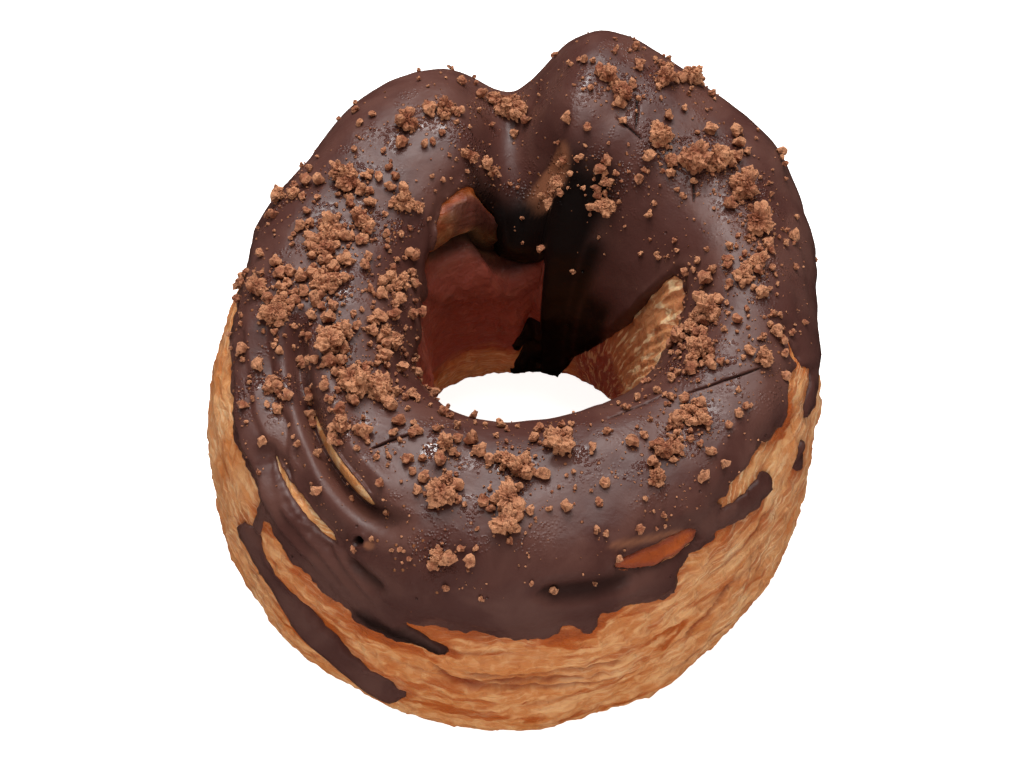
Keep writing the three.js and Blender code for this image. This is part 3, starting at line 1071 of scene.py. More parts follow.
    # The strip's pale share is partly its own pale fibres and partly painted light, lifting it out of the
    # hole's shade.
    pale_by: tuple = (("foot", 0.65), ("strip", 1.1), ("red_strip", -0.4), ("bare", 0.5))
    # The wall's red is partly own colour and partly painted bounce light; the window edge's and the flap's
    # red is painted shade.
    red_by: tuple = (
        ("wall", 0.92), ("window", 0.1), ("window_edge_shade", 0.45), ("flap", 0.25), ("shaded_flap", 0.6), ("strip", 0.3),
        ("red_side", 0.6),
    )
    # Painted shade, by mark: the slit under the flap, the window's edge, the wall under the lip, the flap and
    # the wall beside it.
    painted_shade_by: tuple = (
        (("split", 0.95),), (("window_edge_shade", 0.35),), (("shade_under_lip", 0.3),), (("flap", 0.62), ("shaded_flap", 0.15)),
        (("flap_shade", 1.0),),
    )

    def torus(self) -> bmesh.types.BMesh:
        """Makes a round ring of unit size.

        Returns:
            Its mesh, whose rows and steps become the dough's.
        """
        bm = bmesh.new()
        bmesh.ops.create_circle(bm, segments=self.rows, radius=0.5)
        upright = Matrix.Rotation(np.pi / 2.0, 3, "X")
        bmesh.ops.rotate(bm, verts=bm.verts, cent=(0, 0, 0), matrix=upright)
        bmesh.ops.translate(bm, verts=bm.verts, vec=(1.0, 0.0, 0.0))
        once_round = {"cent": (0, 0, 0), "axis": (0, 0, 1), "angle": 2.0 * np.pi, "steps": self.ring_steps}
        bmesh.ops.spin(bm, geom=bm.verts[:] + bm.edges[:], use_merge=True, **once_round)
        bmesh.ops.remove_doubles(bm, verts=bm.verts, dist=1e-5)
        bmesh.ops.recalc_face_normals(bm, faces=bm.faces)
        return bm

    def in_strip(self, spots: Spots) -> Floats:
        """How far spots lie in the bare strip of the hole, from 0 to 1."""
        return self.strip.over(spots.ring) * self.strip_height.over(spots.turn)

    def creased(self, spots: Spots) -> Floats:
        """How far spots lie in a dark crease of the side, from 0 to 1."""
        return most([Stroke(mark, 1.0, *self.crease_edge) for mark in self.creases], spots)

    def shown(self, spots: Spots) -> Floats:
        """How clearly the thin layers show at spots, from 0 to 1."""
        return np.clip(0.5 + self.layers_shown.over(spots.points), 0.0, 1.0)

    def thin_layer(self, level: Floats) -> Floats:
        """How far a place is from the foot to the top of its thin layer, from 0 to 1."""
        return level * self.sub_layers % 1.0

    def fan(self, spots: Spots) -> Floats:
        """Coordinates in the bare strip of the hole, whose fibres fan out from one place at its foot.

        Args:
            spots: Places on the skin.

        Returns:
            Across the fibres, none and along them, one row each.
        """
        across = np.radians(wrap(spots.ring - self.fan_apex[0])) * self.form.hole_radius
        up = (self.fan_apex[1] - spots.turn % 360.0) * self.form.skin_per_degree
        angle = np.arctan2(across, np.maximum(up, 0.0) + self.fan_foot)
        return np.stack([angle * self.fan_mm, 0 * angle, np.hypot(across, up) / self.fan_strand], axis=1)

    def fine_relief(self, spots: Spots) -> Floats:
        """Relief of the dough, with the thin layers that show in it.

        Args:
            spots: Places on the skin.

        Returns:
            Distances off the plain skin, in mm.
        """
        level = self.relief.level(spots)
        wander = total(self.wander, spots.points)
        near = self.near_crease.over(spots.ring) * bell(level, self.near_level, self.near_spread)
        depth = np.clip(self.groove_share + self.groove_depth.over(spots.points), *self.groove_range)
        depth = depth + self.near_depth * near
        main = depth * self.relief.layers(spots.ring, level + self.groove_wander * wander, self.roundness)
        saw = self.thin_layer(level + wander)
        thin = self.sub_depth * (saw * (1.0 - ramp(saw, *self.sub_edge)) - self.sub_middle)
        shown = self.shown(spots)
        strip = self.in_strip(spots)
        height = spots.points[:, 2] / self.wall_pitch + self.wall_wander.over(spots.points)
        lines = blend(height, self.fan(spots)[:, 0] / self.wall_pitch, np.round(strip))
        wall = self.wall_depth * np.maximum(self.left_wall_height.over(spots.turn), strip)
        return (
            spots.outside * (main + thin * shown)
            + self.relief.folds(spots)
            + wall * shown * np.sin(2.0 * np.pi * lines)
            - self.crease_depth * self.creased(spots)
            + total(self.raised, spots)
            + total(self.crags, spots.points)
        )

    def marks(self, spots: Spots) -> dict[str, Floats]:
        """How far spots lie in the marks of the skin.

        Args:
            spots: Places on the skin.

        Returns:
            Shares from 0 to 1 for each mark, or what the mark adds.
        """
        ring, turn, outside = spots.ring, spots.turn, spots.outside
        strip = self.in_strip(spots)
        left = self.left_wall.over(ring)
        in_window = self.cover.window.inside(spots)
        window = ramp(in_window, *self.flap_edge)
        flap = ramp(self.loose_flap.inside(spots), *self.flap_edge)
        under_edge = bell(np.minimum(self.cover.inside(spots), 0.0), 0.0, self.under_edge_mm)
        red_side = strip * ramp(wrap(ring) + self.red_slant * (turn % 360.0), *self.red_side)
        return {
            "outside": outside,
            "flaky": outside * self.flaky.over(ring),
            "painted_sheen": outside * self.painted_sheen.over(ring),
            "orange": self.orange.over(ring) * ramp(spots.points[:, 2], *self.orange_height),
            "streak": ramp(self.low_streak.inside(spots), *self.streak_edge),
            "under_edge": under_edge,
            "front": self.front_band.over(ring) * under_edge * outside,
            "bare": total(self.bare_strips, spots),
            "window": window,
            # Painted shade: darker and redder along the window's edge.
            "window_edge_shade": window * (1.0 - ramp(in_window, *self.rim_edge)),
            "strip": strip,
            "red_side": red_side,
            "red_strip": strip * red_side,
            "wall": left * self.left_wall_height.over(turn) * (1.0 - strip),
            "foot": left * self.left_foot.over(turn) * (1.0 - strip),
            # Painted shade on the top of the hole's wall, under the flap's lip.
            "shade_under_lip": left * (turn > self.lip_turn) * (1.0 - ramp(turn, *self.wall_shade)),
            "split": ramp(self.split.inside(spots), *self.split_edge),
            # The flap: its own tone, and painted shade through the gap attribute.
            "flap": flap,
            "shaded_flap": flap * ramp(ring, *self.shaded_flap),
            "flap_shade": self.flap_shade.over(ring) * self.flap_shade_height.over(turn),
        }

    def crease_lines(self, spots: Spots) -> Floats:
        """How much painted shade lies in the grooves, creases, thin layer lines and between the fibres.

        Args:
            spots: Places on the skin.

        Returns:
            Shares of the crease's colour.
        """
        level = self.relief.level(spots)
        wander = total(self.wander, spots.points)
        groove = np.abs(level + self.groove_wander * wander - np.round(level)) * self.relief.pitch
        deep_shade = np.clip(self.shade_share + self.groove_shade.over(spots.points), *self.shade_range)
        near = self.near_crease.over(spots.ring) * (np.abs(level - self.near_level) < 0.5)
        lowest, highest = self.grooved
        grooved = bell(groove, 0.0, self.groove_mm) * (level > lowest) * (level < highest)
        main = (deep_shade + self.near_shade * near) * grooved
        thin = self.sub_shade * self.shown(spots) * bell(self.thin_layer(level + wander), *self.sub_line)
        lines = main + thin * np.clip(deep_shade + 0.25, 0.0, 1.0) + self.crease_shade * self.creased(spots)
        phase = 2.0 * np.pi * self.fan(spots)[:, 0] / self.fibre_mm
        phase = phase + self.fibre_wander * wander * self.relief.pitch
        fibre = ramp(np.sin(phase), *self.fibre_edge)
        return np.clip(spots.outside * lines + self.fibre_shade * self.in_strip(spots) * fibre, 0.0, 1.0)

    def values(self, spots: Spots) -> dict[str, Floats]:
        """Works out what the finish reads: grain along the layers, painted shade, and how the skin is
        browned, with painted shade in its creases and a painted sheen.

        Args:
            spots: Places on the skin.

        Returns:
            Values for each spot, by the attribute's name.
        """
        marks = self.marks(spots)
        level = self.relief.level(spots) + total(self.wander, spots.points)
        across = spots.points[:, :2] / self.strand_mm
        flat = np.column_stack([across, level * self.relief.pitch])
        pale = self.shown(spots) * weighed(marks, self.flaked_by) + weighed(marks, self.pale_by)
        bake = (
            weighed(marks, self.brown_by),
            np.clip(pale * (1.0 - marks["window"]), 0.0, 1.1),
            self.crease_lines(spots),
            np.clip(weighed(marks, self.red_by), 0.0, 1.0),
        )
        return {
            "grain": blend(flat, self.fan(spots), np.round(marks["strip"])[:, None]),
            # Painted shade, stored as the gap attribute.
            "gap": np.max([weighed(marks, weights) for weights in self.painted_shade_by], axis=0),
            "bake": np.stack(bake, axis=1),
        }

    def build(self) -> Floats:
        """Builds the ring's piece.

        Returns:
            The shift from the ring's middle to the frame's, in mm.
        """
        bm = self.torus()
        unit = places(bm)
        ring = np.degrees(np.arctan2(unit[:, 1], unit[:, 0]))
        even = np.degrees(np.arctan2(unit[:, 2], np.hypot(unit[:, 0], unit[:, 1]) - 1.0))
        spots = Spots(self.form, ring, even - np.degrees(self.crowding * np.sin(np.radians(even))))
        sunk = self.sunk * ramp(self.cover.inside(spots), *self.sunk_edge)
        skin = spots.raised(self.fine_relief(spots) - sunk)
        low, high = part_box(Node.DOUGH.value)
        middle = (skin.min(axis=0) + skin.max(axis=0)) / 2.0
        shift = np.array((low + high) / 2.0) / MILLIMETRE - middle
        shift[2] = 0.0
        move(bm, (skin + shift) * MILLIMETRE)
        make_piece("laminated_ring", bm, FriedDough(), Node.DOUGH, Slot.DOUGH, self.values(spots))
        return shift


@dataclass
class ChocolateIcing:
    """The dark chocolate coat over the top, with its run, bare marks, cracks and ridges."""

    form: RingForm
    relief: DoughRelief
    cover: IcingCover
    dough: DoughRing
    ring_steps: int = 360
    rows: int = 178
    turns: tuple = (-30.0, 240.0)
    seam: float = 90.0
    wall: float = 1.5
    lip: float = 3.6
    edge_wall: float = 0.5
    backing: float = 0.9
    fine_band: float = 1.1
    softened: float = 0.3
    bedded: tuple = (0.5, 2.6)
    crack_depth: float = 0.55
    crack_width: float = 0.16
    crack_band: float = 0.7
    crack_shade: tuple = (-0.05, 0.1)
    fold_patch: tuple = (184.0, 250.0, 34.0, 98.0)
    waves: tuple = (Ripples(42, 16.0, 0.26), Ripples(43, 5.5, 0.07))
    crack_blunt: float = 0.5
    dents: tuple = (
        Trail(((274, 47.6), (282.5, 45.6), (291, 44.2)), 1.5, 1.2, 0.5),
        Trail(((289, 48.6), (298, 45.2), (306, 44.6)), 1.0, 1.0, 0.4),
        Trail(((238.5, 43.2), (242, 42), (246, 41)), 0.5, 0.7, 0.4),
    )
    dent_depth: tuple = (-1.2, -1.3, 1.0)
    dent_shade: tuple = (0.62, -0.8, 0.8)
    bubble: Trail = Trail(((237.9, 51.6), (239.5, 50.8)), 0.8, 0.8, 0.5)
    bubble_rim: tuple = (-0.6, 0.4)
    bubble_pit: tuple = (-0.3, 0.4)
    rim_height: float = 0.3
    pit_depth: float = 1.1
    band: Stretch = Stretch(180, 248, 8)
    band_inside: tuple = (0.4, 1.4, 7.5, 9.5)
    band_turn: float = 80.0
    band_pitch: float = 2.1
    band_depth: float = 0.55
    band_wander: Ripples = Ripples(41, 26.0, 0.5)
    stains_and_highlight: tuple = (
        Stroke(Trail(((82.5, 111), (79, 122), (77.5, 132)), 2.8, 2.4, 0.4), 0.9, -0.8, 0.8),
        # Painted highlight: a lighter brown strip standing in for the sheen on a raised lip above the window.
        Stroke(
            Trail(((288.5, 58), (294.5, 55.2), (299, 52.8), (303.5, 50)), 0.5, 0.35, 0.4), 0.75, -0.6, 0.4
        ),
        Stroke(Trail(((240.3, 51), (241.5, 52.4), (241.8, 54.2)), 0.6, 0.5, 0.3), 0.8, -0.3, 0.3),
    )
    dusty_turns: tuple = (40.0, 60.0, 130.0, 150.0)
    tongue_tip: Trail = Trail(((242, 34), (250, 32), (258.5, 30.8)), 1.6, 1.0, 0.4, on_side=True)
    # Painted shade in the burst bubble's pit and at the tongue's undercut tip.
    shaded_marks: tuple = (Stroke(bubble, 1.0, -0.2, 0.3), Stroke(tongue_tip, 0.8, -1.6, 1.0))
    # Painted shade on the chocolate of the hole's walls, near-black deep in the hole.
    shaded_walls: tuple = (
        (Stretch(55, 106, 5, 0.97), (106.0, 124.0)),
        (Stretch(49, 60, 5, 0.97), (132.0, 142.0)),
        (Stretch(33, 52, 4, 0.97), (151.0, 160.0)),
    )
    cracks: tuple = (
        ((64, 96.3), (60, 97.2), (56, 98.2)),
        ((62.5, 81.3), (60, 90.8), (58.5, 96.3)),
        ((328, 105.3), (336, 91.7), (342.5, 74.2)),
        ((303, 116.2), (315.5, 115.8), (325.5, 113.9)),
        ((230.5, 90), (233, 99), (236.5, 107.5)),
        ((39, 98.2), (34.5, 103)),
    )

    def in_crack(self, spots: Spots) -> Floats:
        """Distance inside the nearest crack's edge.

        Args:
            spots: Places on the skin.

        Returns:
            Distances in mm, negative outside the cracks.
        """
        width = self.crack_width
        trails = [Trail(points, width, width, self.crack_blunt) for points in self.cracks]
        return np.max([trail.inside(spots) for trail in trails], axis=0)

    def in_fold(self, spots: Spots) -> Floats:
        """Positive degrees inside the stretch with the fold and the ridged band."""
        start, stop, low, high = self.fold_patch
        return np.min([spots.ring - start, stop - spots.ring, spots.turn - low, high - spots.turn], axis=0)

    def near_edge(self, spots: Spots) -> Floats:
        """Distance from the coat's edge in mm, negative on both sides of it."""
        return -np.abs(self.cover.inside(spots))

    def ridged(self, spots: Spots) -> Floats:
        """Relief of the ridged band above the coat's edge.

        Args:
            spots: Places on the skin.

        Returns:
            Heights in mm.
        """
        above = self.cover.above_edge(spots)
        low, full, fading, gone = self.band_inside
        band = self.band.over(spots.ring) * ramp(above, low, full) * (1.0 - ramp(above, fading, gone))
        saw = (above / self.band_pitch + self.band_wander.over(spots.points)) % 1.0
        ridges = self.band_depth * ((1.0 - saw) * ramp(saw, 0.0, 0.3) - 0.4)
        return np.where(spots.turn < self.band_turn, band, 0.0) * ridges

    def outer_face(self, spots: Spots, cover: Floats) -> Floats:
        """Distance of the coat's outer face off the plain skin.

        Args:
            spots: Places on the skin.
            cover: Distance inside the coat's edge, in mm.

        Returns:
            Distances in mm.
        """
        layers = self.relief.layers(spots.ring, self.relief.level(spots))
        smooth = spots.outside * self.softened * layers + self.relief.folds(spots)
        bed = blend(self.dough.fine_relief(spots), smooth, ramp(cover, *self.bedded))
        edge = np.clip(cover / self.edge_wall, 0.0, 1.0)
        thick = self.edge_wall * np.sqrt(edge * (2.0 - edge))
        thick = thick + (self.wall - self.edge_wall) * ramp(cover, 0.0, self.lip)
        burst = self.bubble.inside(spots)
        fine = (
            self.ridged(spots) * ramp(cover, 0.2, 1.0)
            + total([Stroke(dent, *self.dent_depth) for dent in self.dents], spots)
            - self.crack_depth * ramp(self.in_crack(spots), -self.crack_width, self.crack_width)
            + self.rim_height * bell(burst, *self.bubble_rim)
            - self.pit_depth * ramp(burst, *self.bubble_pit)
            + total(self.waves, spots.points)
        )
        return bed + thick + edge * fine

    def lift(self, bm: bmesh.types.BMesh) -> None:
        """Lifts the flat sheet's vertices to their distance inside the coat's edge."""
        ring, turn, _ = places(bm).T
        move(bm, np.stack([ring, turn, self.cover.inside(Spots(self.form, ring, turn))], axis=1))

    def refine(self, bm: bmesh.types.BMesh, reach: float, inside: Callable[[Spots], Floats]) -> None:
        """Splits the sheet's edges close to a mark and lifts the new vertices to their height.

        Args:
            bm: The flat sheet.
            reach: How far from the mark the edges are split, in mm.
            inside: Distance inside the mark, negative outside.
        """
        ring, turn, _ = places(bm).T
        near = inside(Spots(self.form, ring, turn)) > -reach
        bm.verts.index_update()
        edges = [edge for edge in bm.edges if all(near[vert.index] for vert in edge.verts)]
        bmesh.ops.subdivide_edges(bm, edges=edges, cuts=1, use_grid_fill=True)
        self.lift(bm)

    def sheet(self) -> bmesh.types.BMesh:
        """Lays the coat out flat.

        Returns:
            A mesh of ring and turn degrees, with the distance inside the edge as height.
        """
        bm = bmesh.new()
        bmesh.ops.create_grid(bm, x_segments=self.ring_steps, y_segments=self.rows, size=0.5)
        along, up, flat = places(bm).T + 0.5
        move(bm, np.stack([self.seam + 360.0 * along, blend(*self.turns, up), flat], axis=1))
        self.lift(bm)
        self.refine(bm, self.crack_band, self.in_crack)
        self.refine(bm, self.crack_band / 2.0, self.in_crack)
        self.refine(bm, 0.0, self.in_fold)
        self.refine(bm, self.fine_band, self.near_edge)
        cut = {"plane_co": (0, 0, 0), "plane_no": (0, 0, 1), "clear_inner": True}
        bmesh.ops.bisect_plane(bm, geom=bm.verts[:] + bm.edges[:] + bm.faces[:], dist=1e-4, **cut)
        return bm

    def values(self, spots: Spots, crumbs: "CookieCrumbs") -> dict[str, Floats]:
        """Works out what the finish reads: crumb dust, painted shade, and stains with a painted highlight.

        Args:
            spots: Places on the skin.
            crumbs: The crumbs, whose dust lies in the chocolate.

        Returns:
            Values for each spot, by the attribute's name.
        """
        low, full, fading, gone = self.dusty_turns
        top = ramp(spots.turn, low, full) * (1.0 - ramp(spots.turn, fading, gone))
        marks = (*self.shaded_marks, *(Stroke(dent, *self.dent_shade) for dent in self.dents))
        walls = [wall.over(spots.ring) * ramp(spots.turn, *turns) for wall, turns in self.shaded_walls]
        # Painted shade, stored as the sunk attribute: cracks, the burst bubble's pit, the tongue's tip, dents
        # and the hole's far walls.
        sunk = [ramp(self.in_crack(spots), *self.crack_shade), most(marks, spots), *walls]
        return {
            "dust": top * crumbs.density(spots),
            "sunk": np.max(sunk, axis=0),
            "stain_and_highlight": most(self.stains_and_highlight, spots),
        }

    def build(self, shift: Floats, crumbs: "CookieCrumbs") -> None:
        """Builds the coat's piece.

        Args:
            shift: From the ring's middle to the frame's, in mm.
            crumbs: The crumbs, whose dust lies in the chocolate.
        """
        bm = self.sheet()
        ring, turn, cover = places(bm).T
        layers = [bm.verts.layers.float.new(name) for name in ("ring", "turn")]
        for layer, rows in zip(layers, (ring, turn)):
            for vert, value in zip(bm.verts, rows):
                vert[layer] = value
        spots = Spots(self.form, ring, turn)
        move(bm, spots.raised(self.outer_face(spots, cover)))
        bmesh.ops.remove_doubles(bm, verts=bm.verts, dist=1e-3)
        bmesh.ops.recalc_face_normals(bm, faces=bm.faces)
        doubled = bmesh.ops.extrude_face_region(bm, geom=bm.faces[:], use_keep_orig=True)
        inner = [item for item in doubled["geom"] if isinstance(item, bmesh.types.BMVert)]
        under, spots = (
            Spots(self.form, *(np.array([vert[layer] for vert in verts]) for layer in layers))
            for verts in (inner, bm.verts)
        )
        for vert, facing in zip(inner, under.facing):
            vert.co -= Vector(facing) * self.backing
        bmesh.ops.recalc_face_normals(bm, faces=bm.faces)
        for layer in layers:
            bm.verts.layers.float.remove(layer)
        move(bm, (places(bm) + shift) * MILLIMETRE)
        values = self.values(spots, crumbs)
        make_piece("chocolate_coat", bm, SetChocolate(), Node.ICING, Slot.CHOCOLATE, values)


class EvenDraw:
    """A repeatable draw of numbers from 0 to 1, the same as the solid crumbs were drawn with."""

    def __init__(self, seed: int) -> None:
        """Starts the draw from a seed."""
        self.state = seed

    def next(self) -> float:
        """The next number."""
        self.state = (self.state * 1664525 + 1013904223) % 2**32
        return self.state / 2**32

    def bell(self) -> float:
        """The sum of two draws, from -1 to 1 and mostly near 0."""
        return self.next() + self.next() - 1.0


@dataclass(frozen=True)
class Grade:
    """Crumbs of one grade: their piece, how finely each is split, what share of it sits in the chocolate,
    the seed of their shapes, and how they are strewn and scattered unless they are the solid's."""

    name: str
    levels: int
    sunk: float
    seed: int
    strewn: tuple = ()
    scattered: tuple = ()


@dataclass
class CookieCrumbs:
    """Cookie crumbs on the icing: large ones where the solid has them, small ones and dust round them."""

    form: RingForm
    coat: ChocolateIcing
    sizes: tuple = (0.9, 2.2)
    seed: int = 20261
    draws_for_shape: int = 14
    spread: float = 6.0
    across: float = 2.4
    heaps: tuple = (
        (160, 27, 5), (173, 25, 3), (174, 34, 1), (186, 31, 3), (197, 25.5, 2), (214, 24, 4),
        (168, 18, 2), (194, 18, 2), (206, 14.5, 2), (150, 36, 2), (141, 31, 2), (147, 24, 2),
        (134, 21, 3), (104, 32, 2), (118, 33, 2), (90, 37, 3), (100, 25, 2), (80, 23, 1), (67, 35, 2),
        (62, 42, 3), (51, 33, 2), (42, 34.5, 2), (26, 36, 3), (58, 24, 2), (10, 32, 3), (356, 25.5, 3),
        (342, 24.5, 3), (343, 33, 1), (319, 28.5, 3), (308, 31.5, 3), (288, 23.5, 1), (267, 26, 2),
        (266, 33, 2), (249, 31, 2), (246, 25, 1), (221, 31, 2), (198, 36, 1), (254, 39, 1),
    )
    grades: tuple = (
        Grade("cookie_crumbs", 4, 0.3, 51),
        Grade("cookie_bits", 2, 0.3, 52, (61, 10, (0.3, 1.1), (1.6, 2.8, 6.5)), (63, 800, (0.25, 0.85))),
        Grade("cookie_dust", 1, 0.4, 53, (62, 22, (0.07, 0.26), (2.0, 5.0)), (64, 2600, (0.07, 0.22))),
    )
    dusted: tuple = (46.0, 128.0)
    clump_mm: float = 11.0
    dust_reach: tuple = (9.0, 4.5)
    dust_share: float = 0.6
    thicker: tuple = (Bump(185, 45, 0.8), Bump(12, 35, 0.7), Bump(128, 30, -0.75))
    knobs: int = 11
    knob_reach: tuple = (0.25, 0.75)
    knob_size: tuple = (0.28, 0.58)
    core: float = 0.5
    crag_mm: float = 0.4
    crag_height: float = 0.16
    rough: float = 0.09
    tones: tuple = (0.1, 0.9)
    crevice_shade: float = 1.1
    edge_room: float = 0.8

    def density(self, spots: Spots) -> Floats:
        """How thickly dust lies at spots on the top.

        Args:
            spots: Places on the skin.

        Returns:
            Shares from 0 to 1.
        """
        degrees, across = self.dust_reach
        radius = self.form.plain(spots.ring, spots.turn)[0]
        heaps = [
            bell(wrap(spots.ring - at), 0.0, degrees) * bell(radius, middle, across)
            for at, middle, _ in self.heaps
        ]
        return self.dust_share * np.max(heaps, axis=0)

    def solid_crumbs(self) -> list[tuple[float, float, float]]:
        """Draws the crumbs that the solid has.

        Returns:
            Ring degrees, turn degrees and size in mm of each.
        """
        draw = EvenDraw(self.seed)
        crumbs = []
        for at, middle, count in self.heaps:
            for _ in range(count):
                ring = (at + self.spread * draw.bell() + 360.0) % 360.0
                radius = middle + self.across * draw.bell()
                turn = float(self.form.turn_at_radius(np.array([ring]), np.array([radius]))[0])
                crumbs.append((ring, turn, blend(*self.sizes, draw.next() ** 2)))
                for _ in range(self.draws_for_shape):
                    draw.next()
        return crumbs

    def strewn(self, seed: int, each: int, sizes: tuple, reaches: tuple) -> list[tuple[float, float, float]]:
        """Ring degrees, turn degrees and sizes of smaller crumbs strewn round the large ones.

        Args:
            seed: Seed of the draw.
            each: Number for each large crumb.
            sizes: Smallest and largest size in mm.
            reaches: How far they lie from the large crumb in mm, one of these each.

        Returns:
            One row for each crumb.
        """
        draw = np.random.default_rng(seed)
        crumbs = []
        for ring, turn, _ in self.solid_crumbs():
            radius = float(self.form.plain(np.array([ring]), np.array([turn]))[0][0])
            for _ in range(int(each * (1.0 + total(self.thicker, ring)))):
                off = draw.choice(reaches) * draw.normal(size=2)
                place = (ring + np.degrees(off[0] / radius), turn + off[1] / self.form.skin_per_degree)
                crumbs.append((*place, blend(*sizes, draw.random() ** 2)))
        return crumbs

    def scattered(self, seed: int, count: int, sizes: tuple) -> list[tuple[float, float, float]]:
        """Ring degrees, turn degrees and sizes of crumbs that lie loosely all over the top.

        Args:
            seed: Seed of the draw.
            count: Number drawn, of which about half are kept, in loose clumps.
            sizes: Smallest and largest size in mm.

        Returns:
            One row for each crumb.
        """
        draw = np.random.default_rng(seed)
        ring = draw.uniform(0.0, 360.0, count)
        turn = draw.uniform(*self.dusted, count)
        size = blend(*sizes, draw.random(count) ** 2)
        clump = Ripples(seed, self.clump_mm, 0.5).over(self.form.points(ring, turn))
        kept = draw.random(count) < np.clip(0.4 + clump, 0.08, 1.0) * (1.0 + total(self.thicker, ring))
        return list(zip(ring[kept], turn[kept], size[kept]))

    def lumps(self, ball: Floats, count: int, seed: int) -> Iterator[tuple[Floats, float]]:
        """Draws the shapes of broken lumps, each a core with knobs.

        Args:
            ball: Points of a round lump of unit size.
            count: Number of lumps.
            seed: Seed of the draw.

        Yields:
            How far the ball's points lie from the lump's middle, and the lump's tone.
        """
        draw = np.random.default_rng(seed)
        crag = Ripples(seed + 1, self.crag_mm, self.crag_height)
        for _ in range(count):
            knobs = draw.normal(size=(self.knobs, 3))
            far = draw.uniform(*self.knob_reach, (self.knobs, 1))
            knobs *= far / np.linalg.norm(knobs, axis=1, keepdims=True)
            along = ball @ knobs.T
            under = along**2 - (knobs**2).sum(axis=1) + draw.uniform(*self.knob_size, self.knobs) ** 2
            reach = np.where(under > 0, along + np.sqrt(np.maximum(under, 0.0)), self.core)
            where = ball + 40.0 * draw.normal(size=3)
            pull = reach.max(axis=1) * (1.0 + crag.over(where))
            yield pull + draw.uniform(-self.rough, self.rough, len(ball)), draw.uniform(*self.tones)

    def heap(self, grade: Grade, crumbs: list, shift: Floats) -> None:
        """Joins broken lumps of biscuit into one piece.

        Args:
            grade: The crumbs' grade.
            crumbs: Ring degrees, turn degrees and sizes.
            shift: From the ring's middle to the frame's, in mm.
        """
        rows = np.array(crumbs)
        cover = self.coat.cover.inside(Spots(self.form, *rows.T[:2]))
        inside = cover > self.edge_room * rows[:, 2]
        ring, turn, size = rows[inside].T
        spots = Spots(self.form, ring, turn)
        centres = spots.raised(self.coat.outer_face(spots, cover[inside]) + size * (1.0 - grade.sunk))
        lump = bmesh.new()
        bmesh.ops.create_icosphere(lump, subdivisions=grade.levels, radius=1.0)
        ball = places(lump)
        facets = np.array([[vert.index for vert in face.verts] for face in lump.faces])
        lump.free()
        corners, tones = [], []
        for centre, radius, (pull, tone) in zip(centres, size, self.lumps(ball, len(size), grade.seed)):
            corners.append(ball * pull[:, None] * radius + centre)
            # Painted shade: crevices darker and knobs lighter than the crumb's own tone.
            tones.append(tone + self.crevice_shade * (pull / pull.mean() - 1.0))
        steps = len(ball) * np.arange(len(size))
        mesh_faces = (facets[None, :, :] + steps[:, None, None]).reshape(-1, 3)
        joined = bpy.data.meshes.new(grade.name + "_joined")
        joined.from_pydata((np.concatenate(corners) + shift) * MILLIMETRE, [], mesh_faces.tolist())
        bm = bmesh.new()
        bm.from_mesh(joined)
        bpy.data.meshes.remove(joined)
        bmesh.ops.recalc_face_normals(bm, faces=bm.faces)
        values = {"tone": np.clip(np.concatenate(tones), 0.0, 1.0)}
        make_piece(grade.name, bm, BakedCrumb(), Node.ICING, Slot.CRUMB, values, smooth=False)

    def build(self, shift: Floats) -> None:
        """Builds the three heaps of crumbs.

        Args:
            shift: From the ring's middle to the frame's, in mm.
        """
        for grade in self.grades:
            crumbs = self.solid_crumbs()
            if grade.strewn:
                crumbs = self.strewn(*grade.strewn) + self.scattered(*grade.scattered)
            self.heap(grade, crumbs, shift)


@dataclass(frozen=True)
class Lamp:
    """A round soft box: its place and size in mm, its power, and whether it shows in glossy skins."""

    name: str
    spot: tuple
    size: float
    watts: float
    glossy: bool


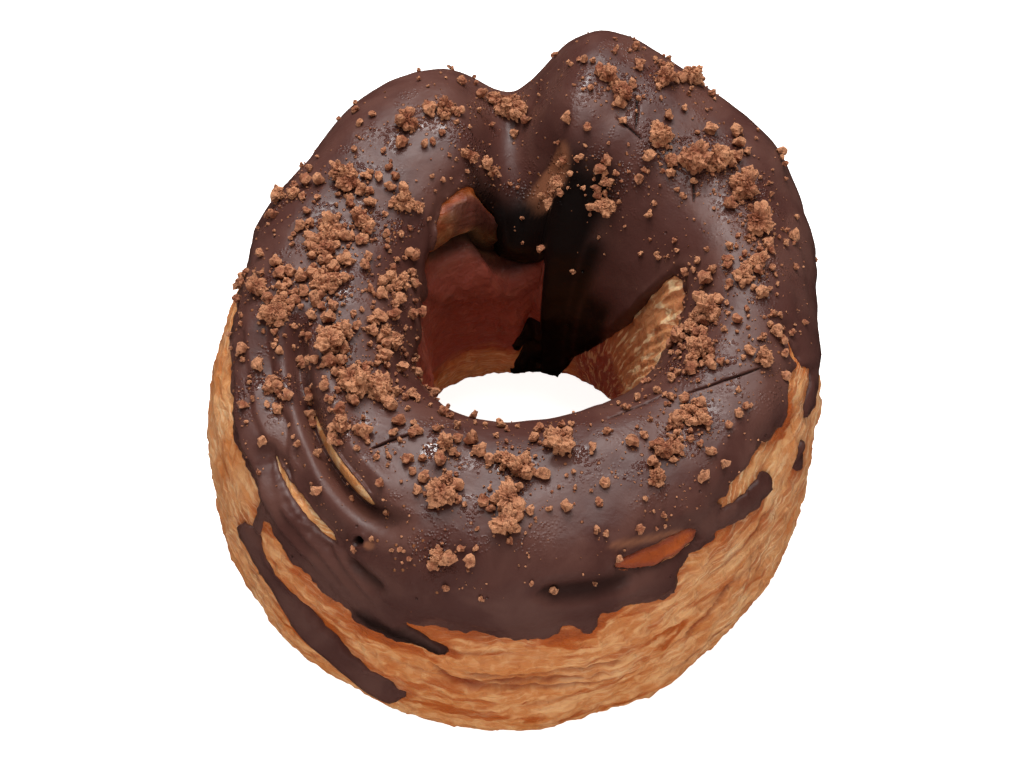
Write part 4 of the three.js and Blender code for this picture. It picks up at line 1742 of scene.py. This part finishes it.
@dataclass
class Studio:
    """The pale table, the soft light from behind and above, and the camera."""

    target: tuple = (0.05, -2.775, 23.2)
    elevation: float = 60.0
    distance: float = 450.0
    lens: float = 112.64
    sensor: float = 36.0
    shift_x: float = -0.0018
    shift_y: float = 0.0066
    table_mm: float = 6000.0
    world_strength: float = 0.25
    lamps: tuple = (
        Lamp("soft_box", (0.0, 285.0, 590.0), 800.0, 5.5, True),
        Lamp("glint_lamp", (-30.0, 360.0, 540.0), 110.0, 1.2, True),
        Lamp("front_fill", (20.0, -620.0, 190.0), 420.0, 1.75, False),
    )

    def place(self, thing: bpy.types.ID, spot: Vector) -> bpy.types.Object:
        """Adds a lamp or a camera that looks at the target.

        Args:
            thing: The lamp or camera.
            spot: Where it stands, in mm.

        Returns:
            Its object.
        """
        holder = bpy.data.objects.new(thing.name, thing)
        holder.location = spot * MILLIMETRE
        holder.rotation_euler = (Vector(self.target) - spot).to_track_quat("-Z", "Y").to_euler()
        bpy.context.scene.collection.objects.link(holder)
        return holder

    def table(self) -> None:
        """The pale table top."""
        bm = bmesh.new()
        bmesh.ops.create_grid(bm, x_segments=1, y_segments=1, size=self.table_mm * MILLIMETRE / 2.0)
        mesh = bpy.data.meshes.new("table_top")
        bm.to_mesh(mesh)
        bm.free()
        mesh.materials.append(PaleTable().make())
        top = bpy.data.objects.new("table_top", mesh)
        bpy.context.scene.collection.objects.link(top)
        top.visible_glossy = False

    def light(self) -> None:
        """Soft boxes and an even, bright surround."""
        for lamp in self.lamps:
            light = bpy.data.lights.new(lamp.name, "AREA")
            light.shape = "DISK"
            light.size = lamp.size * MILLIMETRE
            light.energy = lamp.watts
            self.place(light, Vector(lamp.spot)).visible_glossy = lamp.glossy
        world = bpy.data.worlds.new("bright_room")
        world.use_nodes = True
        back = world.node_tree.nodes["Background"]
        back.inputs["Color"].default_value = (1.0, 1.0, 1.0, 1.0)
        back.inputs["Strength"].default_value = self.world_strength
        world.cycles_visibility.glossy = False
        bpy.context.scene.world = world

    def camera(self) -> None:
        """The camera, above the near side."""
        camera = bpy.data.cameras.new("camera")
        camera.lens = self.lens
        camera.sensor_width = self.sensor
        camera.shift_x = self.shift_x
        camera.shift_y = self.shift_y
        camera.clip_start = 0.01
        slope = np.radians(self.elevation)
        away = Vector((0.0, -np.cos(slope), np.sin(slope))) * self.distance
        bpy.context.scene.camera = self.place(camera, Vector(self.target) + away)

    def build(self) -> None:
        """Sets up table, lights, camera and plain display colours."""
        self.table()
        self.light()
        self.camera()
        bpy.context.scene.view_settings.view_transform = "Standard"


def main() -> None:
    """Builds the doughnut piece by piece on its frame, and the studio round it."""
    logging.basicConfig(level=logging.INFO)
    Studio().build()
    form = RingForm()
    relief = DoughRelief()
    cover = IcingCover()
    dough = DoughRing(form, relief, cover)
    shift = dough.build()
    coat = ChocolateIcing(form, relief, cover, dough)
    crumbs = CookieCrumbs(form, coat)
    coat.build(shift, crumbs)
    crumbs.build(shift)
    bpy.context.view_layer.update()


if __name__ == "__main__":
    main()
